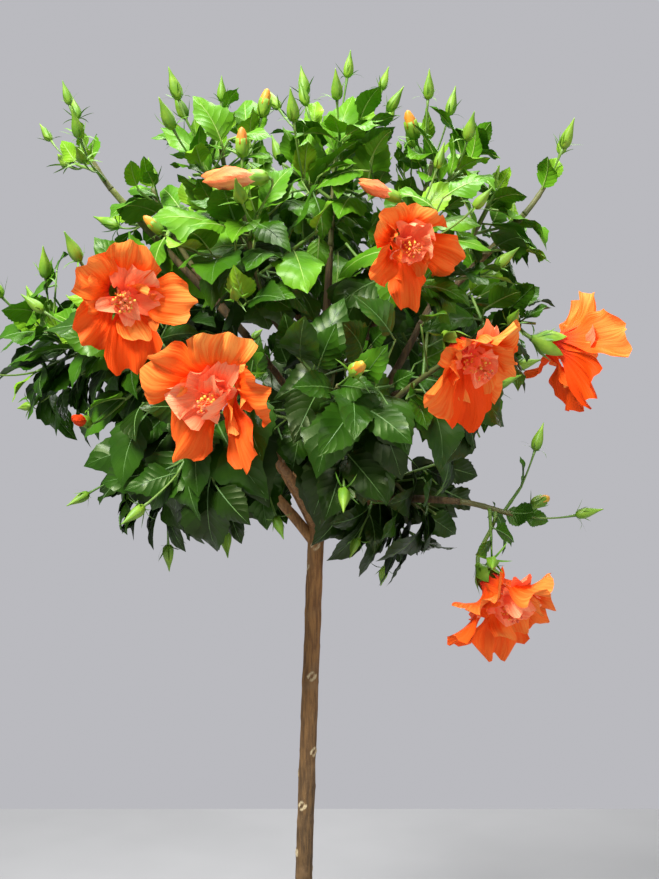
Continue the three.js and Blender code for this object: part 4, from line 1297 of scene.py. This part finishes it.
PETAL_PIECES = [  # piece, heap, slot, finish, glow, edge, body, low body, throat, deep
    ("petals", petals, "petal", "petal_orange", 0.07, (1.0, 0.37, 0.075), (1.0, 0.165, 0.014),
     (0.90, 0.07, 0.003), (0.95, 0.07, 0.018), (0.72, 0.014, 0.018)),
    ("inner_petals", inner_petals, "petal_inner", "petal_salmon", 0.14, (1.0, 0.46, 0.24),
     (1.0, 0.25, 0.10), (0.97, 0.16, 0.065), (0.95, 0.13, 0.07), (0.85, 0.05, 0.05)),
    ("furled_blooms", furled_heap, "petal", "petal_peach", 0.05, (1.0, 0.30, 0.06),
     (1.0, 0.50, 0.22), (0.80, 0.060, 0.006), (1.0, 0.58, 0.30), (0.9, 0.60, 0.2)),
]
SMALL_PIECES = [  # piece, heap, slot, finish, dark, light, roughness, how fine its tones drift
    ("bud_tips", tip_heap, "petal", "bud_yellow", (0.72, 0.42, 0.03), (0.86, 0.24, 0.03), 0.5, 50),
    ("columns", columns, "petal_inner", "column_coral", (0.90, 0.16, 0.07), (0.95, 0.30, 0.10),
     0.5, 60),
    ("filaments", filaments, "stamen", "filament", (0.94, 0.34, 0.09), (0.96, 0.45, 0.12), 0.5, 60),
    ("anthers", anthers, "stamen", "anther", (0.92, 0.42, 0.04), (0.98, 0.60, 0.10), 0.7, 300),
    ("stigma_pads", pads, "stamen", "stigma", (0.80, 0.10, 0.05), (0.92, 0.22, 0.08), 0.6, 300),
    ("buds", bud_heap, "bud", "bud_green", (0.13, 0.30, 0.014), (0.25, 0.43, 0.028), 0.5, 90),
    ("bracts", bract_heap, "bud", "bract_green", (0.09, 0.24, 0.012), (0.18, 0.36, 0.025), 0.5, 90),
    ("stems", stems, "stem", "stem_brown_green", (0.10, 0.12, 0.03), (0.17, 0.16, 0.05), 0.55, 45),
    ("shoots", shoots, "stem", "shoot_green", (0.10, 0.22, 0.03), (0.20, 0.33, 0.06), 0.45, 45),
]
for name, heap, slot, finish, *looks in PETAL_PIECES:
    heap.make(name, petal_paint(finish, *looks), slot, FOLIAGE_NODES)
for name, heap, slot, finish, *looks in SMALL_PIECES:
    heap.make(name, plain_paint(finish, *looks), slot, FOLIAGE_NODES)

# ---------------- bark

TRUNK_ROD = rod_shape(28, 150)
BOUGH_ROD = rod_shape(12, 40)
BARK_NODE_GAP = 31.0
TRUNK_SCARS = [  # share of the trunk's height, turn
    (0.955, 250), (0.79, 262), (0.715, 300), (0.60, 275), (0.475, 200), (0.375, 268), (0.30, 330),
    (0.24, 260), (0.12, 300), (0.9, 90), (0.66, 80), (0.52, 40), (0.42, 120), (0.2, 95), (0.86, 170),
    (0.33, 170),
]
BOUGH_SCARS = [(0.3, 250), (0.62, 290)]


def barked(shape, limb, relief, scars):
    """A limb's points with furrows, swollen nodes and leaf scars, and how much each is scar."""
    share = shape.rest[:, 2]
    t = np.linspace(0, 1, len(np.unique(np.round(share, 5))))
    places = swept(shape, limb.curve.at(t), limb.radius_at(t))
    out = places - limb.curve.at(share)
    radius = np.linalg.norm(out, axis=1)
    way = out / np.maximum(radius, 1e-6)[:, None]
    angle = np.arctan2(shape.rest[:, 1], shape.rest[:, 0])
    run = share * row_length(limb.places)
    furrows = ripple(places * np.array((1, 1, 0.16)), 5.0, 11)
    bulge = relief * furrows + 0.6 * relief * ripple(places, 26, 12)
    node = np.exp(-(from_node(run, BARK_NODE_GAP) / 2.2) ** 2)
    bulge += relief * 1.1 * node * (0.6 + 0.5 * np.cos(angle + run / 17))
    scar = np.zeros(len(places))
    for height, turn in scars:
        apart = np.abs((np.degrees(angle) - turn + 180) % 360 - 180) / 360 * 2 * math.pi * radius
        ring = np.hypot(apart / 1.3, (share - height) * row_length(limb.places))
        bulge += 0.7 * np.exp(-((ring - 2.6) / 0.9) ** 2) - 0.5 * np.exp(-(ring / 1.6) ** 2)
        scar = np.maximum(scar, np.exp(-((ring - 2.4) / 1.1) ** 2))
    keep = (share > 0.002) | (np.hypot(shape.rest[:, 0], shape.rest[:, 1]) > 0.5)
    return places + way * (bulge * keep)[:, None], scar


def bark_paint():
    """Dark low on the stem and tan higher up, where the upper trunk is painted lighter against the
    shadow of the crown, with pale scars; dark again and green on young wood.
    """
    paint = Paint("bark", 0.72)
    lengthwise = paint.places((1, 1, 0.12))
    streak = paint.noise(420, 4, lengthwise, 0.6)
    blotch = paint.noise(48, 3)
    fleck = paint.noise(900, 2)
    height = paint.vector("DOT_PRODUCT", paint.places(), (0, 0, 1), output="Value")
    # Painted light: the trunk is painted lighter above about 0.36 to 0.60 m to offset the crown's
    # shadow, and darker towards its foot.
    foot_bark = paint.blend((0.080, 0.043, 0.014), (0.180, 0.100, 0.034), streak.between(0.35, 0.68))
    colour = paint.blend((0.20, 0.090, 0.026), (0.43, 0.210, 0.064), streak.between(0.35, 0.68))
    colour = paint.blend(foot_bark, colour, height.between(0.36, 0.60))
    colour = paint.blend(colour, (0.30, 0.18, 0.080), blotch.between(0.52, 0.75) * 0.5)
    colour = paint.blend(colour, (0.42, 0.27, 0.13), fleck.between(0.66, 0.74) * 0.6)
    worn = paint.shade().between(0.2, 0.6) * (fleck.between(0.35, 0.6) * 0.4 + 0.6)
    colour = paint.blend(colour, (0.72, 0.58, 0.34), worn)
    young = paint.blend((0.035, 0.028, 0.010), (0.095, 0.070, 0.026), streak.between(0.35, 0.68))
    young = paint.blend(young, (0.15, 0.21, 0.04), height.between(0.85, 0.92))
    beside = 1 - paint.vector("LENGTH", paint.places((1, 1, 0)), output="Value").between(0.045, 0.1)
    below = 1 - height.between(0.70, 0.79)
    colour = paint.blend(colour, young, (1 - beside * below) * 0.85)
    paint.set("Base Color", colour)
    paint.set("Roughness", 0.62 + streak * 0.2)
    paint.bump(streak + fleck * 0.5, 0.0011, 0.8)
    return paint.material


bark = Heap()
for name, limb in limbs.items():
    rod, relief, scars = BOUGH_ROD, 0.2, BOUGH_SCARS
    if name == "trunk":
        rod, relief, scars = TRUNK_ROD, 0.38, TRUNK_SCARS
    places, scar = barked(rod, limb, relief, scars)
    bark.add(rod, places, shade=scar)
bark.make("bark", bark_paint(), "bark", ["trunk"] + ["bough_" + mass.name for mass in masses])

# ---------------- pot and soil


def outer(z):
    """The pot's outer radius at a height, below its rim band."""
    return mix(POT_FOOT_RADIUS, POT_RIM_RADIUS - RIM_PROUD, z / POT_HEIGHT)


def inner(z):
    return outer(z) - POT_WALL


def turned_piece(name, profile, steps, material, slot, node, change=None):
    """A spun piece in metres, with its points changed by a function if one is given."""
    bm = bmesh.new()
    turn_profile(bm, [(radius * MM, height * MM) for radius, height in profile], steps)
    for face in bm.faces:
        face.smooth = True
    mesh = bpy.data.meshes.new(name)
    bm.to_mesh(mesh)
    bm.free()
    if change:
        places = np.zeros(len(mesh.vertices) * 3)
        mesh.vertices.foreach_get("co", places)
        mesh.vertices.foreach_set("co", change(places.reshape(-1, 3)).ravel())
        mesh.update()
    finish_piece(name, mesh, material, slot, [node])


RIM_FOOT = POT_HEIGHT - RIM_HEIGHT
BAND_FOOT = outer(RIM_FOOT) + RIM_PROUD
pot_profile = [(0, 0.6), (20, 0.6), (60, 0.4), (POT_FOOT_RADIUS - 5, 0)]
pot_profile += [(POT_FOOT_RADIUS - 2.6, 0.2), (outer(2) - 0.6, 1.6), (outer(4), 4)]
pot_profile += [(outer(z) + 0.25 * math.sin(z * 0.9), z) for z in np.linspace(6, RIM_FOOT - 2, 60)]
pot_profile += [(outer(RIM_FOOT) + 0.2, RIM_FOOT - 0.6), (BAND_FOOT - 1.4, RIM_FOOT + 0.4)]
pot_profile += [(BAND_FOOT, RIM_FOOT + 2.4)]
for t in np.linspace(0, 1, 14):
    radius = mix(BAND_FOOT, POT_RIM_RADIUS, t) + 0.2 * math.sin(t * 20)
    pot_profile += [(radius, mix(RIM_FOOT + 3.5, POT_HEIGHT - 4, t))]
pot_profile += [(POT_RIM_RADIUS - 0.6, POT_HEIGHT - 1.8), (POT_RIM_RADIUS - 2.4, POT_HEIGHT - 0.3)]
pot_profile += [(POT_RIM_RADIUS - 5, POT_HEIGHT), (inner(POT_HEIGHT) + 2.6, POT_HEIGHT - 0.4)]
pot_profile += [(inner(POT_HEIGHT) + 0.6, POT_HEIGHT - 2.2)]
pot_profile += [(inner(z), z) for z in np.linspace(POT_HEIGHT - 5, POT_FLOOR + 4, 22)]
pot_profile += [(inner(POT_FLOOR) - 3, POT_FLOOR), (40, POT_FLOOR), (0, POT_FLOOR)]


def clay_paint():
    """Fired clay with turning rings, pale grit and a chalky bloom."""
    paint = Paint("clay", 0.85)
    rings = paint.noise(1.0, 3, paint.places((14, 14, 520)), 0.6)
    cloud = paint.noise(16, 4, rough=0.6)
    grit = paint.noise(900, 3)
    colour = paint.blend((0.40, 0.155, 0.072), (0.56, 0.235, 0.115), cloud.between(0.35, 0.68))
    colour = paint.blend(colour, (0.66, 0.40, 0.25), grit.between(0.62, 0.75) * 0.55)
    chalk = paint.noise(9, 5, rough=0.65).between(0.55, 0.78)
    colour = paint.blend(colour, (0.72, 0.55, 0.42), chalk * 0.45)
    paint.set("Base Color", colour)
    paint.set("Roughness", 0.78 + grit * 0.15)
    paint.bump(rings * 0.7 + grit * 0.5, 0.0009, 0.7)
    return paint.material


turned_piece("clay_pot", pot_profile, 120, clay_paint(), "pot", "pot")

SOIL_EDGE = SOIL_TOP - 4
SOIL_FOOT = POT_FLOOR + CLEARANCE
soil_profile = [(0, SOIL_FOOT), (40, SOIL_FOOT), (inner(SOIL_FOOT) - 3.2, SOIL_FOOT)]
soil_profile += [(inner(POT_FLOOR + 4) - 0.4, POT_FLOOR + 4)]
soil_profile += [(inner(z) - CLEARANCE, z) for z in np.linspace(40, SOIL_EDGE, 8)]
for t in np.linspace(0.01, 1, 46):
    height = mix(SOIL_EDGE + 0.4, SOIL_TOP - 0.4, smooth(t * 2.0))
    soil_profile += [(mix(inner(SOIL_EDGE) - 1, 8.0, t), height)]
soil_profile += [(0, SOIL_TOP - 0.4)]


def lumpy(places):
    """Raises and sinks the soil's top, but not round the stem's foot."""
    top = smooth((places[:, 2] - (SOIL_EDGE - 1) * MM) / (2 * MM))
    top *= np.hypot(places[:, 0], places[:, 1]) > 0.012
    flat = places / MM * np.array((1, 1, 0))
    lumps = 1.5 * ripple(flat, 16, 21) + 1.1 * ripple(flat, 6, 22)
    places[:, 2] += MM * top * np.minimum(lumps, 2.4)
    return places


def soil_paint(name, dark, light, scale):
    """Dull crumbs in two tones."""
    paint = Paint(name, 0.95)
    crumb = paint.noise(scale, 4, rough=0.7)
    paint.set("Base Color", paint.blend(dark, light, crumb.between(0.35, 0.7)))
    paint.bump(crumb, 0.002, 1.0)
    return paint.material


soil_finish = soil_paint("soil", (0.014, 0.009, 0.006), (0.075, 0.048, 0.03), 260)
turned_piece("potting_soil", soil_profile, 144, soil_finish, "soil", "soil", lumpy)

CRUMBS = 620
PERLITE_EVERY = 9
PERLITE_SIZE = 0.62
CHIPS = 90
BOX = shape_of(lambda bm: bmesh.ops.create_cube(bm, size=2))
crumbs, perlite, chips = Heap(), Heap(), Heap()
random = seeded(95)
for k in range(CRUMBS):
    reach, turn = math.sqrt(random(0.02, 0.93)) * inner(SOIL_EDGE), random(*ANY_TURN)
    size = random(1.1, 3.4)
    height = SOIL_TOP - 1.2 + random(-0.6, 0.5)
    place = np.array((reach * math.cos(turn), reach * math.sin(turn), height))
    squash = np.array((random(0.7, 1.4), random(0.7, 1.4), random(0.45, 0.8)))
    if k % PERLITE_EVERY == 0:
        perlite.add(GRAIN, place + GRAIN.rest * squash * size * PERLITE_SIZE)
    else:
        crumbs.add(GRAIN, place + GRAIN.rest * squash * size)
for k in range(CHIPS):
    reach, turn = math.sqrt(random(0.03, 0.9)) * inner(SOIL_EDGE), random(*ANY_TURN)
    roll = random(*ANY_TURN)
    way = unit(np.array((math.cos(roll), math.sin(roll), random(-0.25, 0.25))))
    rest = BOX.rest * np.array((random(0.8, 1.8), random(0.5, 0.9), random(3, 8)))
    place = np.array((reach * math.cos(turn), reach * math.sin(turn), SOIL_TOP + 0.2))
    chips.add(BOX, set_on(rest, place, way))
for name, heap, finish, *looks in (
        ("soil_crumbs", crumbs, "soil_crumb", (0.03, 0.018, 0.011), (0.10, 0.062, 0.036), 500),
        ("perlite", perlite, "perlite_white", (0.45, 0.43, 0.39), (0.68, 0.66, 0.62), 700),
        ("bark_chips", chips, "chip_brown", (0.09, 0.045, 0.02), (0.22, 0.12, 0.06), 300)):
    heap.make(name, soil_paint(finish, *looks), "soil")

# ---------------- floor

FLOOR_HALF = (2.4, 1.39)
FLOOR_BACK = -0.21


def floor_sheet():
    """A pale floor that isn't part of the plant."""
    bm = bmesh.new()
    bmesh.ops.create_grid(bm, x_segments=1, y_segments=1, size=1)
    bmesh.ops.scale(bm, vec=(*FLOOR_HALF, 1), verts=bm.verts[:])
    bmesh.ops.translate(bm, vec=(0, FLOOR_BACK, 0), verts=bm.verts[:])
    mesh = bpy.data.meshes.new("floor")
    bm.to_mesh(mesh)
    bm.free()
    finish = plain_paint("floor_pale", (0.40, 0.40, 0.405), (0.44, 0.44, 0.445), 0.6, 3)
    mesh.materials.append(finish)
    floor = bpy.data.objects.new("floor", mesh)
    bpy.context.collection.objects.link(floor)


floor_sheet()
